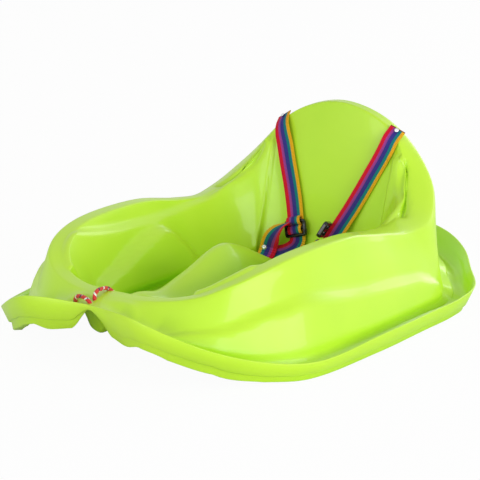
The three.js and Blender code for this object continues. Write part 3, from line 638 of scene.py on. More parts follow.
@dataclass
class MouldedTub:
    """The one-piece moulding: deck, lip, gutter, runners, tub walls, rim, backrest and pommel."""

    half_width: float = 250.0
    half_length: float = 335.0
    height: float = 247.0
    sheet: float = 3.0
    rim_band: float = 22.0
    rim_drop: float = 0.8
    hip_drop: float = 5.5
    rim_turn_share: float = 0.07
    rim_ring: int = 6
    seat_level_ring: int = 12
    gutter_width: float = 21.0
    runner_depth: float = 8.0
    runner_ledge: float = 3.5
    runner_width: float = 12.0
    seat_height: float = 20.0
    hump_half_width: float = 60.0
    seat_centre_share: float = -0.1
    seat_end_share: float = 0.55
    samples: int = 8
    steps: int = 6
    gutter_corner: float = 6.0
    edge_corner: float = 1.1
    corner_limit_share: float = 0.4
    longest_face: float = 18.0
    panel_start_rings: float = 0.6
    panel_end_rings: float = 0.5
    finish: MouldedPolyethylene = MouldedPolyethylene()

    lip_shares: tuple[Row, ...] = (
        (0, -0.94, 0.346), (0.108, -0.955, 0.352), (0.213, -0.985, 0.362), (0.337, -1, 0.353),
        (0.48, -0.957, 0.292), (0.65, -0.85, 0.2), (0.82, -0.71, 0.132), (0.944, -0.54, 0.1),
        (1, -0.15, 0.119), (1, 0.21, 0.117), (1, 0.415, 0.121), (0.973, 0.546, 0.14),
        (0.86, 0.66, 0.184), (0.715, 0.798, 0.228), (0.52, 0.912, 0.263), (0.28, 0.98, 0.283),
        (0, 1, 0.283),
    )
    rim_shares: tuple[Row, ...] = (
        (0, -0.784, 0.356), (0.12, -0.778, 0.356), (0.22, -0.769, 0.36), (0.328, -0.745, 0.372),
        (0.432, -0.706, 0.397), (0.528, -0.64, 0.445), (0.592, -0.539, 0.49), (0.632, -0.375, 0.526),
        (0.644, -0.03, 0.526), (0.624, 0.207, 0.478), (0.604, 0.372, 0.466), (0.572, 0.5, 0.518),
        (0.508, 0.61, 0.64), (0.432, 0.667, 0.775), (0.336, 0.691, 0.873), (0.18, 0.697, 0.954),
        (0, 0.697, 0.988),
    )
    seat_shares: tuple[Row, ...] = (
        (0, -0.682, 0), (0.12, -0.676, 0), (0.21, -0.664, 0), (0.288, -0.64, 0), (0.352, -0.592, 0),
        (0.4, -0.524, 0), (0.432, -0.434, 0), (0.456, -0.3, 0), (0.464, -0.03, 0), (0.456, 0.193, 0),
        (0.432, 0.327, 0), (0.408, 0.416, 0), (0.384, 0.47, 0), (0.336, 0.506, 0), (0.248, 0.53, 0),
        (0.128, 0.539, 0), (0, 0.542, 0),
    )
    runner_shares: tuple[Row, ...] = (
        (0.287, 0, 1), (0.214, 1.5, 1), (0.206, 1.7, 1), (0.204, 1.2, 1), (0.162, 1.4, 1), (0.087, 1.4, 1),
        (0.02, 1.05, 1), (0, 1, 1), (0, 1, 1), (0, 1, 1.05), (0, 1, 1.25), (0.012, 1, 1.5),
        (0.04, 1, 1.5), (0.07, 0.5, 1.3), (0.09, 0, 1.2), (0.1, 0, 1.1), (0.1, 0, 1.1),
    )
    shoulder_shares: tuple[Row, ...] = (
        (0.5, 0.345), (0.5, 0.345), (0.5, 0.31), (0.5, 0.27), (0.5, 0.27), (0.5, 0.27), (0.5, 0.29),
        (0.45, 0.33), (0.4, 0.26), (0.35, 0.225), (0.3, 0.2), (0.3, 0.2), (0.4, 0.22), (0.5, 0.235),
        (0.5, 0.24), (0.5, 0.25), (0.5, 0.25),
    )
    deck_shares: tuple[Row, ...] = (
        (0.04, 0.04), (0.66, 0.6), (0.5, 0.3), (0.1, 0), *[(0, 0)] * 6, (0, 0.1), (0, 0.5), (0, 0.85),
        (0, 0.9), (0, 0.7), (0, 0.6), (0, 0.6),
    )
    edge_shares: tuple[Row, ...] = (
        *[(0.3, 0.45, 0.4)] * 3, (0.32, 0.45, 0.4), (0.36, 0.45, 0.4),
        (0.42, 0.48, 0.45), (0.46, 0.5, 0.45), (0.48, 0.5, 0.5), (0.46, 0.5, 0.5), (0.46, 0.65, 0.5),
        (0.46, 1.15, 0.4), (0.46, 1.6, 0.3), (0.5, 1.5, 0.25), (0.5, 0.95, 0.3), (0.5, 0.6, 0.35),
        (0.5, 0.45, 0.4), (0.5, 0.4, 0.4),
    )
    hump_shares: tuple[Row, ...] = (
        (1, -0.8, 0.235), (1, -0.64, 0.235), (1, -0.51, 0.205), (1, -0.345, 0.255), (1, -0.15, 0.332),
        (0.97, -0.06, 0.31), (0.78, 0.14, 0.186), (0.58, 0.28, 0.093), (0.4, 0.42, 0.02), (0.3, 0.5, 0),
        (0.3, 0.8, 0),
    )
    inner_wall_shares: tuple[Pair, ...] = ((0.3, 0.72), (0.55, 0.42), (0.8, 0.16))
    outer_wall_shares: Pair = (0.3, 0.72)
    seat_ring_shares: tuple[Pair, ...] = (
        (0.84, 0.92), (0.66, 0.84), (0.48, 0.76), (0.31, 0.69), (0.15, 0.63), (0.04, 0.58),
    )
    wing_slit: Relief = Relief((
        (114, 212, 172), (118, 205, 160), (126, 192, 143), (137, 172, 131), (148, 152, 121),
    ), height=-8, fade=4)
    leg_pad: Panel = Panel((
        (-172, -30), (-166, 46), (-157, 52), (-115, 62), (-77, 76), (-41, 88), (-10, 94), (12, 84),
        (33, 64), (48, 44), (60, -30),
    ), SIDE_VIEW, height=13, fade=11)
    backrest_wing: Panel = Panel(((96, 30), (97, 182), (135, 182), (150, 30)), FRONT_VIEW, height=7, fade=4)
    outer_step: Panel = Panel((
        (-330, -20), (-300, 58), (-274, 60), (-239, 62), (-201, 74), (-156, 82), (-108, 81), (0, 64),
        (108, 53), (150, 40), (160, -20),
    ), SIDE_VIEW, height=5.5, fade=6)

    def loop(self, rows: Sequence[Row], first_changes_sign: bool) -> np.ndarray:
        """Closes rows for one side and their mirror images into a smooth loop.

        Args:
            rows: Values from the middle of the bow to the middle of the stern.
            first_changes_sign: Whether the first value is a place across.

        Returns:
            Evenly stepped samples round the loop.
        """
        near = np.array(rows, float)
        far = near[1:-1][::-1].copy()
        if first_changes_sign:
            far[:, 0] *= -1
        return curve_through(np.concatenate([near, far]), True, self.samples)

    def places(self, shares: Sequence[Row]) -> np.ndarray:
        """Turns shares of the overall sizes into a loop of places."""
        scale = np.array([self.half_width, self.half_length, self.height])
        return self.loop([tuple(np.array(row) * scale) for row in shares], True)

    @staticmethod
    def outward(loop: np.ndarray) -> np.ndarray:
        """Level unit vectors that point out of a loop."""
        along = np.roll(loop, -1, axis=0) - np.roll(loop, 1, axis=0)
        return unit(np.stack([along[:, 1], -along[:, 0], np.zeros(len(loop))], axis=1))

    def hump_rise(self, places: np.ndarray) -> np.ndarray:
        """Gives how far the pommel's ridge lifts the seat.

        Args:
            places: Places on the seat.

        Returns:
            The rise at each place.
        """
        scale = np.array([self.hump_half_width, self.half_length, self.height])
        ridge = curve_through(np.array(self.hump_shares) * scale, False, 6)
        wide = np.interp(places[:, 1], ridge[:, 1], ridge[:, 0])
        high = np.interp(places[:, 1], ridge[:, 1], ridge[:, 2])
        across = np.minimum(np.abs(places[:, 0]) / wide, 1)
        return high * (1 - across ** 2) ** 2

    def seat_ring(self, edge: np.ndarray, across: float, along: float) -> np.ndarray:
        """Shrinks the seat's edge towards its middle line and lays it on the seat.

        Args:
            edge: The seat's edge.
            across: Share of its width that is left.
            along: Share of its length that is left.

        Returns:
            The ring.
        """
        middle = self.seat_centre_share * self.half_length
        ring = edge.copy()
        ring[:, 0] *= across
        ring[:, 1] = middle + (edge[:, 1] - middle) * along
        ring[:, 2] = self.seat_height + self.hump_rise(ring)
        return ring

    def cornered(self, rings: Sequence[np.ndarray], radii: Sequence[float]) -> list[np.ndarray]:
        """Cuts the corners of a run of rings, so that they round off.

        Args:
            rings: The corner rings, of which the first and last stay as they are.
            radii: How far back each inner corner is cut.

        Returns:
            Two rings for each inner corner, and more between corners that lie far apart.
        """
        made = [rings[0]]
        for before, corner, after, radius in zip(rings, rings[1:], rings[2:], radii):
            for other in (before, after):
                reach = other - corner
                size = np.linalg.norm(reach, axis=1, keepdims=True)
                made.append(corner + unit(reach) * np.minimum(radius, self.corner_limit_share * size))
        made.append(rings[-1])
        full = [made[0]]
        for ring in made[1:]:
            start = full[-1]
            gap = float(np.max(np.linalg.norm(ring - start, axis=1)))
            parts = max(1, round(gap / self.longest_face))
            full.extend(start + (ring - start) * part / parts for part in range(1, parts + 1))
        return full

    def wall_rings(self, gutter_inner: np.ndarray) -> np.ndarray:
        """Lays the rings from the gutter over the rim and down to the seat's middle line.

        Args:
            gutter_inner: Where the wall meets the gutter's floor.

        Returns:
            The rings on the upper face.
        """
        rim = self.places(self.rim_shares)
        rim_out = self.outward(rim)
        edge = self.loop(self.edge_shares, False)
        shoulder = self.loop(self.shoulder_shares, False)
        seat_edge = self.places(self.seat_shares)
        rim_outer = rim + rim_out * edge[:, 1:2] * self.rim_band
        rim_outer[:, 2] = rim[:, 2] - self.rim_drop - self.hip_drop * np.maximum(0, 2 * edge[:, 1] - 1)
        rim_inner = rim - rim_out * edge[:, 2:3] * self.rim_band
        rim_inner[:, 2] = rim[:, 2] - self.rim_drop
        wall = gutter_inner + (rim_outer - gutter_inner) * shoulder[:, 0:1]
        wall[:, 2] = shoulder[:, 1] * self.height
        low_share, high_share = self.outer_wall_shares
        level = self.seat_ring(seat_edge, 1, 1)
        inner = []
        for inward, left in self.inner_wall_shares:
            ring = rim_inner + (level - rim_inner) * inward
            ring[:, 2] = level[:, 2] + (rim_inner[:, 2] - level[:, 2]) * left
            inner.append(ring)
        crisp = self.rim_turn_share
        rings = [
            gutter_inner, gutter_inner + (wall - gutter_inner) * low_share, wall,
            wall + (rim_outer - wall) * high_share, rim_outer + (wall - rim_outer) * crisp,
            rim_outer + (rim - rim_outer) * crisp, rim, rim_inner + (rim - rim_inner) * crisp,
            rim_inner + (inner[0] - rim_inner) * crisp, *inner, level,
            *[self.seat_ring(seat_edge, *shares) for shares in self.seat_ring_shares],
            self.seat_ring(seat_edge, 0, self.seat_end_share),
        ]
        return curve_through(np.array(rings), False, self.steps)

    def relief_at(self, wall: np.ndarray) -> np.ndarray:
        """Adds up the slits and panels on the wall.

        Args:
            wall: The wall's rings, by row and column.

        Returns:
            How far each place moves out of the upper face.
        """
        flat = wall.reshape(-1, 3).copy()
        flat[:, 0] = np.abs(flat[:, 0])
        rise = self.wing_slit.rise(flat).reshape(wall.shape[:-1])
        inside, outside = self.wall_rows(len(wall))
        for panel, rows in (
            (self.leg_pad, inside), (self.backrest_wing, inside), (self.outer_step, outside),
        ):
            rise = rise + panel.rise(flat).reshape(rise.shape) * rows[:, None]
        return rise

    def wall_rows(self, count: int) -> tuple[np.ndarray, np.ndarray]:
        """Gives how much of a panel each row of the wall takes, from 0 at the wall's edges to 1 between.

        Args:
            count: How many rows the wall has.

        Returns:
            The shares for the wall's inner side and for its outer side.
        """
        rings = np.arange(count) / self.steps
        below_rim = np.clip(rings - self.rim_ring - self.panel_start_rings, 0, 1)
        above_seat = np.clip((self.seat_level_ring - rings) / self.panel_end_rings, 0, 1)
        outside = np.clip(self.rim_ring - self.panel_start_rings - rings, 0, 1) * np.clip(rings, 0, 1)
        return below_rim * above_seat, outside

    @staticmethod
    def normals(rings: np.ndarray) -> np.ndarray:
        """Gives which way a run of rings faces.

        Args:
            rings: The rings, from gutter to seat.

        Returns:
            The unit vector out of the upper face at each place.
        """
        along = np.gradient(rings, axis=0)
        around = np.roll(rings, -1, axis=1) - np.roll(rings, 1, axis=1)
        return unit(np.cross(around, along))

    def rings(self) -> np.ndarray:
        """Lays all rings, from the seat's middle line over the edges to the underside's.

        Returns:
            The rings by row and column.
        """
        lip = self.places(self.lip_shares)
        lip_out = self.outward(lip)
        runner = self.loop(self.runner_shares, False)
        edge = self.loop(self.edge_shares, False)
        deck = self.loop(self.deck_shares, False) * self.gutter_width
        bottom = np.maximum(runner[:, 0], 0) * self.height
        ledge = bottom + self.runner_depth
        foot = lip - lip_out * (edge[:, 0] * (lip[:, 2] - ledge))[:, None]
        foot[:, 2] = ledge

        def inward(distance: np.ndarray | float, high: np.ndarray) -> np.ndarray:
            """Moves the foot inwards to a height.

            Args:
                distance: How far it moves.
                high: The height all round.

            Returns:
                The moved ring.
            """
            ring = foot - lip_out * np.broadcast_to(distance, len(foot))[:, None]
            ring[:, 2] = high
            return ring

        floor = ledge + self.sheet
        gutter_outer = inward(self.sheet, floor + deck[:, 0])
        gutter_inner = inward(runner[:, 2] * self.gutter_width, floor + deck[:, 1])
        low = ledge - runner[:, 1] * self.runner_depth
        slope = self.sheet / 2
        wall = self.wall_rings(gutter_inner)
        wall = wall + self.normals(wall) * self.relief_at(wall)[..., None]
        under = wall - self.normals(wall) * self.sheet
        near_wall = self.steps * 2 // 3
        outside = self.cornered(
            [
                wall[near_wall], wall[0], gutter_outer, lip - lip_out * self.sheet, lip, foot,
                inward(self.runner_ledge, ledge), inward(self.runner_ledge + slope, low),
                inward(self.runner_ledge + slope + self.runner_width, low + deck[:, 1]),
                inward(self.runner_ledge + 2 * slope + self.runner_width, ledge + deck[:, 1]),
                under[near_wall + 1],
            ],
            [self.gutter_corner, self.gutter_corner] + [self.edge_corner] * 6 + [slope, slope],
        )
        return np.array([*wall[near_wall + 1:][::-1], *outside, *under[near_wall + 2:]])

    def build(self) -> Piece:
        """Builds the tub from one grid, wrapped round and closed along its two middle lines.

        Returns:
            The tub.
        """
        rings = self.rings()
        wrapped = np.concatenate([rings, rings[:, :1]], axis=1)
        bm = bmesh.new()
        lay_grid(bm, wrapped)
        bmesh.ops.remove_doubles(bm, verts=bm.verts, dist=2 * WELD * MM)
        bmesh.ops.dissolve_degenerate(bm, edges=bm.edges, dist=WELD * MM)
        bmesh.ops.recalc_face_normals(bm, faces=bm.faces)
        tub = finished("moulded_tub", bm, self.finish.material())
        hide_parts("tub_shell")
        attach(tub, Body.SLED.value)
        return tub


class Sheet:
    """Finds the moulded sheet, so that what lies on it stays clear of it."""

    def __init__(self, tub: Piece) -> None:
        """Reads the finished tub's faces."""
        graph = bpy.context.evaluated_depsgraph_get()
        self.tree = BVHTree.FromObject(tub, graph)

    def rise(self, place: np.ndarray, out: np.ndarray, gap: float, reach: float = 25.0) -> float:
        """Gives how far a place has to move out to clear the sheet.

        Args:
            place: The place.
            out: The unit direction in which it may move.
            gap: The least gap to keep.
            reach: How far above the place the sheet is looked for.

        Returns:
            The move, 0 where the place is clear.
        """
        start = Vector(place + out * reach) * MM
        _, _, _, distance = self.tree.ray_cast(start, -Vector(out), 2 * reach * MM)
        return 0.0 if distance is None else max(0.0, reach + gap - distance / MM)


@dataclass(frozen=True)
class Band:
    """A length of webbing that follows stations, each a place and the way across the band.

    `sealed` says which of its ends are cut and sealed, and `uncut` is how far off an end counts that isn't.
    """

    name: str
    stations: tuple[Row, ...]
    width: float = 25.0
    thickness: float = 1.5
    step: float = 3.0
    columns: int = 10
    curve_steps: int = 12
    smoothings: int = 2
    uncut: float = 1000.0
    gap: float = 0.5
    edge: float = 0.35
    sealed: tuple[bool, bool] = (True, True)

    def frames(self) -> tuple[np.ndarray, np.ndarray, np.ndarray, np.ndarray]:
        """Runs a curve through the stations.

        Returns:
            The places, the ways across and out at each, and the distances along the band.
        """
        values = np.array(self.stations, float)
        rough = curve_through(values[:, :3], False, self.curve_steps)
        stops = np.linspace(0, len(values) - 1, len(rough))
        ways = sampled(stops, np.arange(len(values)), values[:, 3:])
        runs = run_lengths(rough)
        count = max(3, round(runs[-1] / self.step))
        even = np.linspace(0, runs[-1], count + 1)
        places, ways = sampled(even, runs, rough), sampled(even, runs, ways)
        for _ in range(self.smoothings):
            ways[1:-1] = (ways[:-2] + 2 * ways[1:-1] + ways[2:]) / 4
        along = unit(np.gradient(places, axis=0))
        across = unit(ways - np.sum(ways * along, axis=1, keepdims=True) * along)
        return places, across, np.cross(across, along), even

    def build(self, sheet: Sheet, material: Material) -> Piece:
        """Builds the band, lifted where the sheet would touch it.

        Args:
            sheet: The moulded sheet.
            material: The webbing's finish.

        Returns:
            The band, which rides on nothing yet.
        """
        places, across, out, runs = self.frames()
        shares = np.linspace(-1, 1, self.columns + 1)
        lifts = np.array([
            max(sheet.rise(place + way * share * self.width / 2, up, self.thickness / 2 + self.gap)
                for share in (-1, -0.5, 0, 0.5, 1))
            for place, way, up in zip(places, across, out)
        ])
        highest = np.array([lifts[max(0, at - 2):at + 3].max() for at in range(len(lifts))])
        smooth = np.convolve(np.pad(highest, 2, mode="edge"), np.ones(5) / 5, mode="valid")
        places = places + out * np.maximum(smooth, lifts)[:, None]
        spots = places[:, None] + across[:, None] * (shares * self.width / 2)[None, :, None]
        bm = bmesh.new()
        ends = bm.verts.layers.float.new("from_end")
        table = lay_grid(bm, spots)
        set_runs(bm, runs, True)
        for verts, run in zip(table, runs):
            from_ends = [way for way, cut in zip((run, runs[-1] - run), self.sealed) if cut]
            for vert in verts:
                vert[ends] = min(from_ends, default=self.uncut) * MM
        piece = finished(self.name, bm, material)
        bake(piece, {
            "SOLIDIFY": {"thickness": self.thickness * MM, "offset": 0.0},
            "BEVEL": {"width": self.edge * MM, "segments": 2, "limit_method": "ANGLE"},
        })
        return piece


@dataclass(frozen=True)
class Adjuster:
    """A three-bar strap adjuster with rounded bars."""

    name: str
    node: str
    body: Body
    centre: Row
    up: Row
    facing: Row
    width: float = 33.0
    height: float = 24.0
    thickness: float = 6.4
    bar: float = 4.6
    corner: float = 6.0
    edge: float = 1.7
    corner_reach: float = 0.1
    sharp_turn: float = 0.8

    def matrix(self) -> Matrix:
        """Gives the adjuster's own frame.

        Returns:
            The frame in metres, with y up the strap and z out of the webbing.
        """
        up, facing = Vector(self.up), Vector(self.facing)
        frame = Matrix((up.cross(facing), up, facing)).transposed().to_4x4()
        return Matrix.Translation(Vector(self.centre) * MM) @ frame

    def build(self, material: Material) -> Piece:
        """Builds the adjuster from a grid of bars with two windows left open.

        Args:
            material: Its finish.

        Returns:
            The adjuster.
        """
        wide, high = self.width / 2, self.height / 2
        columns = (-wide, -wide + self.bar, wide - self.bar, wide)
        rows = (-high, -high + self.bar, -self.bar / 2, self.bar / 2, high - self.bar, high)
        bm = bmesh.new()
        lay_grid(bm, np.array([[(x, y, -self.thickness / 2) for x in columns] for y in rows]))
        windows = []
        for face in bm.faces:
            middle = face.calc_center_median() / MM
            if abs(middle.x) < 1 and self.bar < abs(middle.y) < high - self.bar:
                windows.append(face)
        bmesh.ops.delete(bm, geom=windows, context="FACES")
        near = [(size - self.corner_reach) * MM for size in (wide, high)]
        corners = [vert for vert in bm.verts if abs(vert.co.x) > near[0] and abs(vert.co.y) > near[1]]
        bmesh.ops.bevel(bm, geom=corners, offset=self.corner * MM, offset_type="OFFSET", affect="VERTICES",
                        segments=5, profile=0.5, material=-1)
        raised = bmesh.ops.extrude_face_region(bm, geom=list(bm.faces), use_keep_orig=True)
        lifted = [part for part in raised["geom"] if isinstance(part, bmesh.types.BMVert)]
        bmesh.ops.translate(bm, verts=lifted, vec=(0, 0, self.thickness * MM))
        bmesh.ops.recalc_face_normals(bm, faces=bm.faces)
        folds = [edge for edge in bm.edges if len(edge.link_faces) == 2]
        sharp = [edge for edge in folds if edge.calc_face_angle(0) > self.sharp_turn]
        bmesh.ops.bevel(bm, geom=sharp, offset=self.edge * MM, offset_type="OFFSET", affect="EDGES",
                        segments=4, profile=0.5, material=-1)
        bmesh.ops.transform(bm, matrix=self.matrix(), verts=bm.verts)
        bmesh.ops.recalc_face_normals(bm, faces=bm.faces)
        piece = finished(self.name, bm, material)
        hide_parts(self.node)
        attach(piece, self.body.value)
        return piece


@dataclass(frozen=True)
class Rivet:
    """A blind rivet that holds webbing on the sheet, and the washer behind it."""

    name: str
    place: Row
    normal: Row
    seat: float
    depth: float
    head_radius: float = 4.0
    head_height: float = 2.2
    shank_radius: float = 1.9
    dimple_radius: float = 1.1
    dimple_depth: float = 0.8
    washer_radius: float = 4.6
    washer_thickness: float = 1.0
    washer_gap: float = 0.6
    bore_gap: float = 0.3
    set_head_radius: float = 3.0
    fine: float = 0.1
    steps: int = 32

    def spun(self, name: str, profile: Sequence[tuple[float, float]], closed: bool,
             material: Material) -> Piece:
        """Spins a profile about the rivet's axis.

        Args:
            name: The piece's name.
            profile: Radius and height of each point.
            closed: Whether the profile's last point joins its first.
            material: Its finish.

        Returns:
            The piece.
        """
        bm = bmesh.new()
        verts = [bm.verts.new((radius * MM, 0, high * MM)) for radius, high in profile]
        pairs = list(zip(verts, verts[1:])) + ([(verts[-1], verts[0])] if closed else [])
        edges = [bm.edges.new(pair) for pair in pairs]
        bmesh.ops.spin(bm, geom=[*verts, *edges], cent=(0, 0, 0), axis=(0, 0, 1), angle=math.tau,
                       steps=self.steps, use_merge=True)
        bmesh.ops.remove_doubles(bm, verts=bm.verts, dist=WELD * MM)
        turn = Vector(self.normal).to_track_quat("Z", "Y").to_matrix().to_4x4()
        bmesh.ops.transform(bm, matrix=Matrix.Translation(Vector(self.place) * MM) @ turn, verts=bm.verts)
        bmesh.ops.recalc_face_normals(bm, faces=bm.faces)
        piece = finished(name, bm, material)
        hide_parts(name.replace("_dome", "").replace("_ring", ""))
        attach(piece, Body.SLED.value)
        return piece

    def build(self, material: Material) -> list[Piece]:
        """Builds the rivet, with the dimple that its pin leaves, and the washer.

        Args:
            material: Their finish.

        Returns:
            The rivet and the washer.
        """
        low, fine = self.seat, self.fine
        top = low + self.head_height
        face = -self.depth - self.washer_gap
        back = face - self.washer_thickness
        rivet = self.spun(f"{self.name}_rivet_dome", [
            (0, top - self.dimple_depth - fine), (self.dimple_radius * 0.8, top - self.dimple_depth),
            (self.dimple_radius, top - fine), (self.dimple_radius + 3 * fine, top),
            (self.head_radius * 0.55, top - 1.5 * fine),
            (self.head_radius * 0.82, low + self.head_height * 0.55),
            (self.head_radius * 0.97, low + 5 * fine), (self.head_radius, low + 2 * fine),
            (self.head_radius * 0.95, low), (self.shank_radius, low), (self.shank_radius, back),
            (self.set_head_radius, back), (self.set_head_radius - 2 * fine, back - self.washer_thickness),
            (0, back - self.washer_thickness - fine),
        ], False, material)
        bore, round_it = self.shank_radius + self.bore_gap, self.washer_radius - 2 * fine
        washer = self.spun(f"{self.name}_washer_ring", [
            (bore, face), (bore, back), (round_it, back), (self.washer_radius, back + 2 * fine),
            (self.washer_radius, face - 2 * fine), (round_it, face),
        ], True, material)
        return [rivet, washer]


@dataclass(frozen=True)
class TowRope:
    """The braided tow rope: laced through the bow, wound under the pommel and tied."""

    radius: float = 2.5
    sides: int = 14
    turn_radius: float = 26.5
    pitch: float = 5.6
    turns: int = 3
    steps_per_turn: int = 24
    climb_turns: float = 0.5
    dip: float = 0.25
    coil_centre: Row = (0.0, -110.0, 4.2)
    knot_strand: float = 2.1
    knot_radius: float = 3.7
    knot_lift_share: float = 1.1
    knot_reach_share: float = 2.2
    knot_gap: float = 0.4
    knot_steps: int = 72
    tie_width: float = 8.0
    tie_thickness: float = 1.1
    tie_gap: float = 0.6
    tie_turn: float = 0.75
    tie_roundness: float = 0.45
    tie_edge_share: float = 0.9
    tie_steps: int = 40
    route: tuple[Row, ...] = (
        (-41, -284, 64), (-40, -288, 72), (-37, -292, 81), (-31, -294.5, 86.3), (-21, -296.5, 87.4),
        (-12, -298, 85), (-6, -298, 77), (3, -297.5, 71), (11, -294, 68), (10, -287.5, 68), (1, -284.5, 70),
        (-7, -286, 76), (-11.5, -287, 83), (-13, -283.5, 90), (-13.8, -277, 92.6), (-14, -270, 92.4),
        (-14, -262, 91.6), (-13, -256, 88.4), (-11.5, -250.5, 82.5), (-10, -245, 74.5), (-8, -239, 64.5),
        (-3, -230, 48), (4, -220, 29), (12, -207, 12), (21, -192, 4.2), (28, -172, 3.4), (33, -150, 3.8),
    )
    end_route: tuple[Row, ...] = ((-29.6, -140, 8.6), (-30.5, -148, 7.4), (-32, -157, 7), (-34, -166, 7))
    finish: BraidedPolyester = BraidedPolyester()

    def coil(self) -> np.ndarray:
        """Winds the coil inwards, up a layer in half a turn, and outwards again.

        Returns:
            Its points, with a rope's width run straight at both ends.
        """
        outer = self.turn_radius + self.turns * self.pitch / 2
        inner = self.turn_radius - self.turns * self.pitch / 2
        points = []
        for step in range(round((2 * self.turns - self.climb_turns) * self.steps_per_turn) + 1):
            turn = step / self.steps_per_turn
            climbed = min(max((turn - self.turns) / self.climb_turns, 0), 1)
            unwound = max(turn - self.turns - self.climb_turns, 0) - self.dip * math.sin(climbed * math.pi)
            radius = outer - turn * self.pitch if climbed == 0 else inner + unwound * self.pitch
            angle = turn * math.tau
            points.append((radius * math.cos(angle), radius * math.sin(angle), climbed * self.pitch))
        wound = np.array(points) + np.array(self.coil_centre)
        behind = np.array([0, -2 * self.radius, 0])
        return np.concatenate([[wound[0] + behind], wound, [wound[-1] + behind]])

    def line(self) -> np.ndarray:
        """Joins the laced stretch, the coil and the free end.

        Returns:
            The rope's whole centreline.
        """
        coil = self.coil()
        lead = coil[0] + np.array([0, -4 * self.radius, 0])
        laced = curve_through(np.array([*self.route, lead, coil[0]]), False, 3)
        free = curve_through(np.array([coil[-1], *self.end_route]), False, 3)
        return np.concatenate([laced, coil[1:], free[1:]])

    @staticmethod
    def sections(line: np.ndarray) -> tuple[np.ndarray, np.ndarray]:
        """Carries a frame along a line without twisting it.

        Args:
            line: The centreline.

        Returns:
            Two unit vectors square to the line at each of its points.
        """
        along = unit(np.gradient(line, axis=0))
        side = unit(np.cross(along[0], np.array([0.3, 0.1, 1.0])))
        sides = []
        for way in along:
            side = unit(side - (side @ way) * way)
            sides.append(side)
        return np.array(sides), np.cross(along, np.array(sides))

    def tube(self, name: str, line: np.ndarray, radius: float, material: Material) -> Piece:
        """Wraps a grid round a line.

        Args:
            name: The piece's name.
            line: Its centreline.
            radius: Its radius.
            material: Its finish.

        Returns:
            The closed tube.
        """
        side, other = self.sections(line)
        angles = np.linspace(0, math.tau, self.sides + 1)
        level, upright = np.cos(angles)[None, :, None], np.sin(angles)[None, :, None]
        ring = level * side[:, None] + upright * other[:, None]
        bm = bmesh.new()
        lay_grid(bm, line[:, None] + ring * radius)
        set_runs(bm, run_lengths(line), False)
        bmesh.ops.remove_doubles(bm, verts=bm.verts, dist=WELD / 2 * MM)
        bmesh.ops.holes_fill(bm, edges=[edge for edge in bm.edges if edge.is_boundary], sides=0)
        bmesh.ops.recalc_face_normals(bm, faces=bm.faces)
        piece = finished(name, bm, material)
        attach(piece, Body.SLED.value)
        return piece

    def knot(self, name: str, end: np.ndarray, before: np.ndarray, material: Material) -> Piece:
        """Ties an overhand knot past an end of the rope.

        Args:
            name: The piece's name.
            end: The rope's end.
            before: A point of the rope shortly before it.
            material: Its finish.

        Returns:
            The knot.
        """
        away = unit(end - before)
        side = unit(np.cross(away, np.array([0.2, 1.0, 0.1])))
        other = np.cross(away, side)
        turns = np.linspace(0, math.tau, self.knot_steps + 1)
        size = self.knot_radius / 3
        across = (np.sin(turns) + 2 * np.sin(2 * turns)) * size
        beside = (np.cos(turns) - 2 * np.cos(2 * turns)) * size
        high = -np.sin(3 * turns) * self.knot_strand * self.knot_lift_share
        centre = end + away * (self.knot_reach_share * self.knot_strand + self.knot_gap)
        line = centre + across[:, None] * side + beside[:, None] * other + high[:, None] * away
        return self.tube(name, line, self.knot_strand, material)

    def tie(self, material: Material) -> Piece:
        """Bends the tie strip round the coil's turns where they pass nearest the bow.

        Args:
            material: Its finish.

        Returns:
            The tie strip.
        """
        widest = self.turn_radius + self.turns * self.pitch / 2
        outer = widest - self.tie_turn * self.pitch
        inner = widest - (self.turns - 1 + self.tie_turn) * self.pitch
        grip = self.radius + self.tie_gap + self.tie_thickness / 2
        wide, high = (outer - inner) / 2 + grip, self.pitch / 2 + grip
        middle = np.array([0, -(outer + inner) / 2, self.pitch / 2]) + np.array(self.coil_centre)
        edge = self.tie_edge_share
        spots = []
        for angle in np.linspace(0, math.tau, self.tie_steps + 1):
            level, upright = math.cos(angle), math.sin(angle)
            spot = middle + np.array([
                0, -wide * math.copysign(abs(level) ** self.tie_roundness, level),
                high * math.copysign(abs(upright) ** self.tie_roundness, upright),
            ])
            spots.append([spot + np.array([x * self.tie_width / 2, 0, 0]) for x in (-1, -edge, 0, edge, 1)])
        bm = bmesh.new()
        lay_grid(bm, np.array(spots))
        bmesh.ops.remove_doubles(bm, verts=bm.verts, dist=2 * WELD * MM)
        bmesh.ops.recalc_face_normals(bm, faces=bm.faces)
        piece = finished("coil_tie_strip", bm, material)
        bake(piece, {"SOLIDIFY": {"thickness": self.tie_thickness * MM, "offset": 0.0}})
        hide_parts("coil_tie")
        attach(piece, Body.SLED.value)
        return piece

    def build(self) -> None:
        braid = self.finish.material()
        strip = NYLON.material()
        line = self.line()
        rope = self.tube("braided_rope", line, self.radius, braid)
        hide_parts("tow_rope", "tow_rope_coil", "tow_rope_end")
        first = self.knot("stopper_knot", line[0], line[1], braid)
        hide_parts("deck_knot")
        last = self.knot("rope_end_knot", line[-1], line[-2], braid)
        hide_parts("end_knot")
        self.tie(strip)


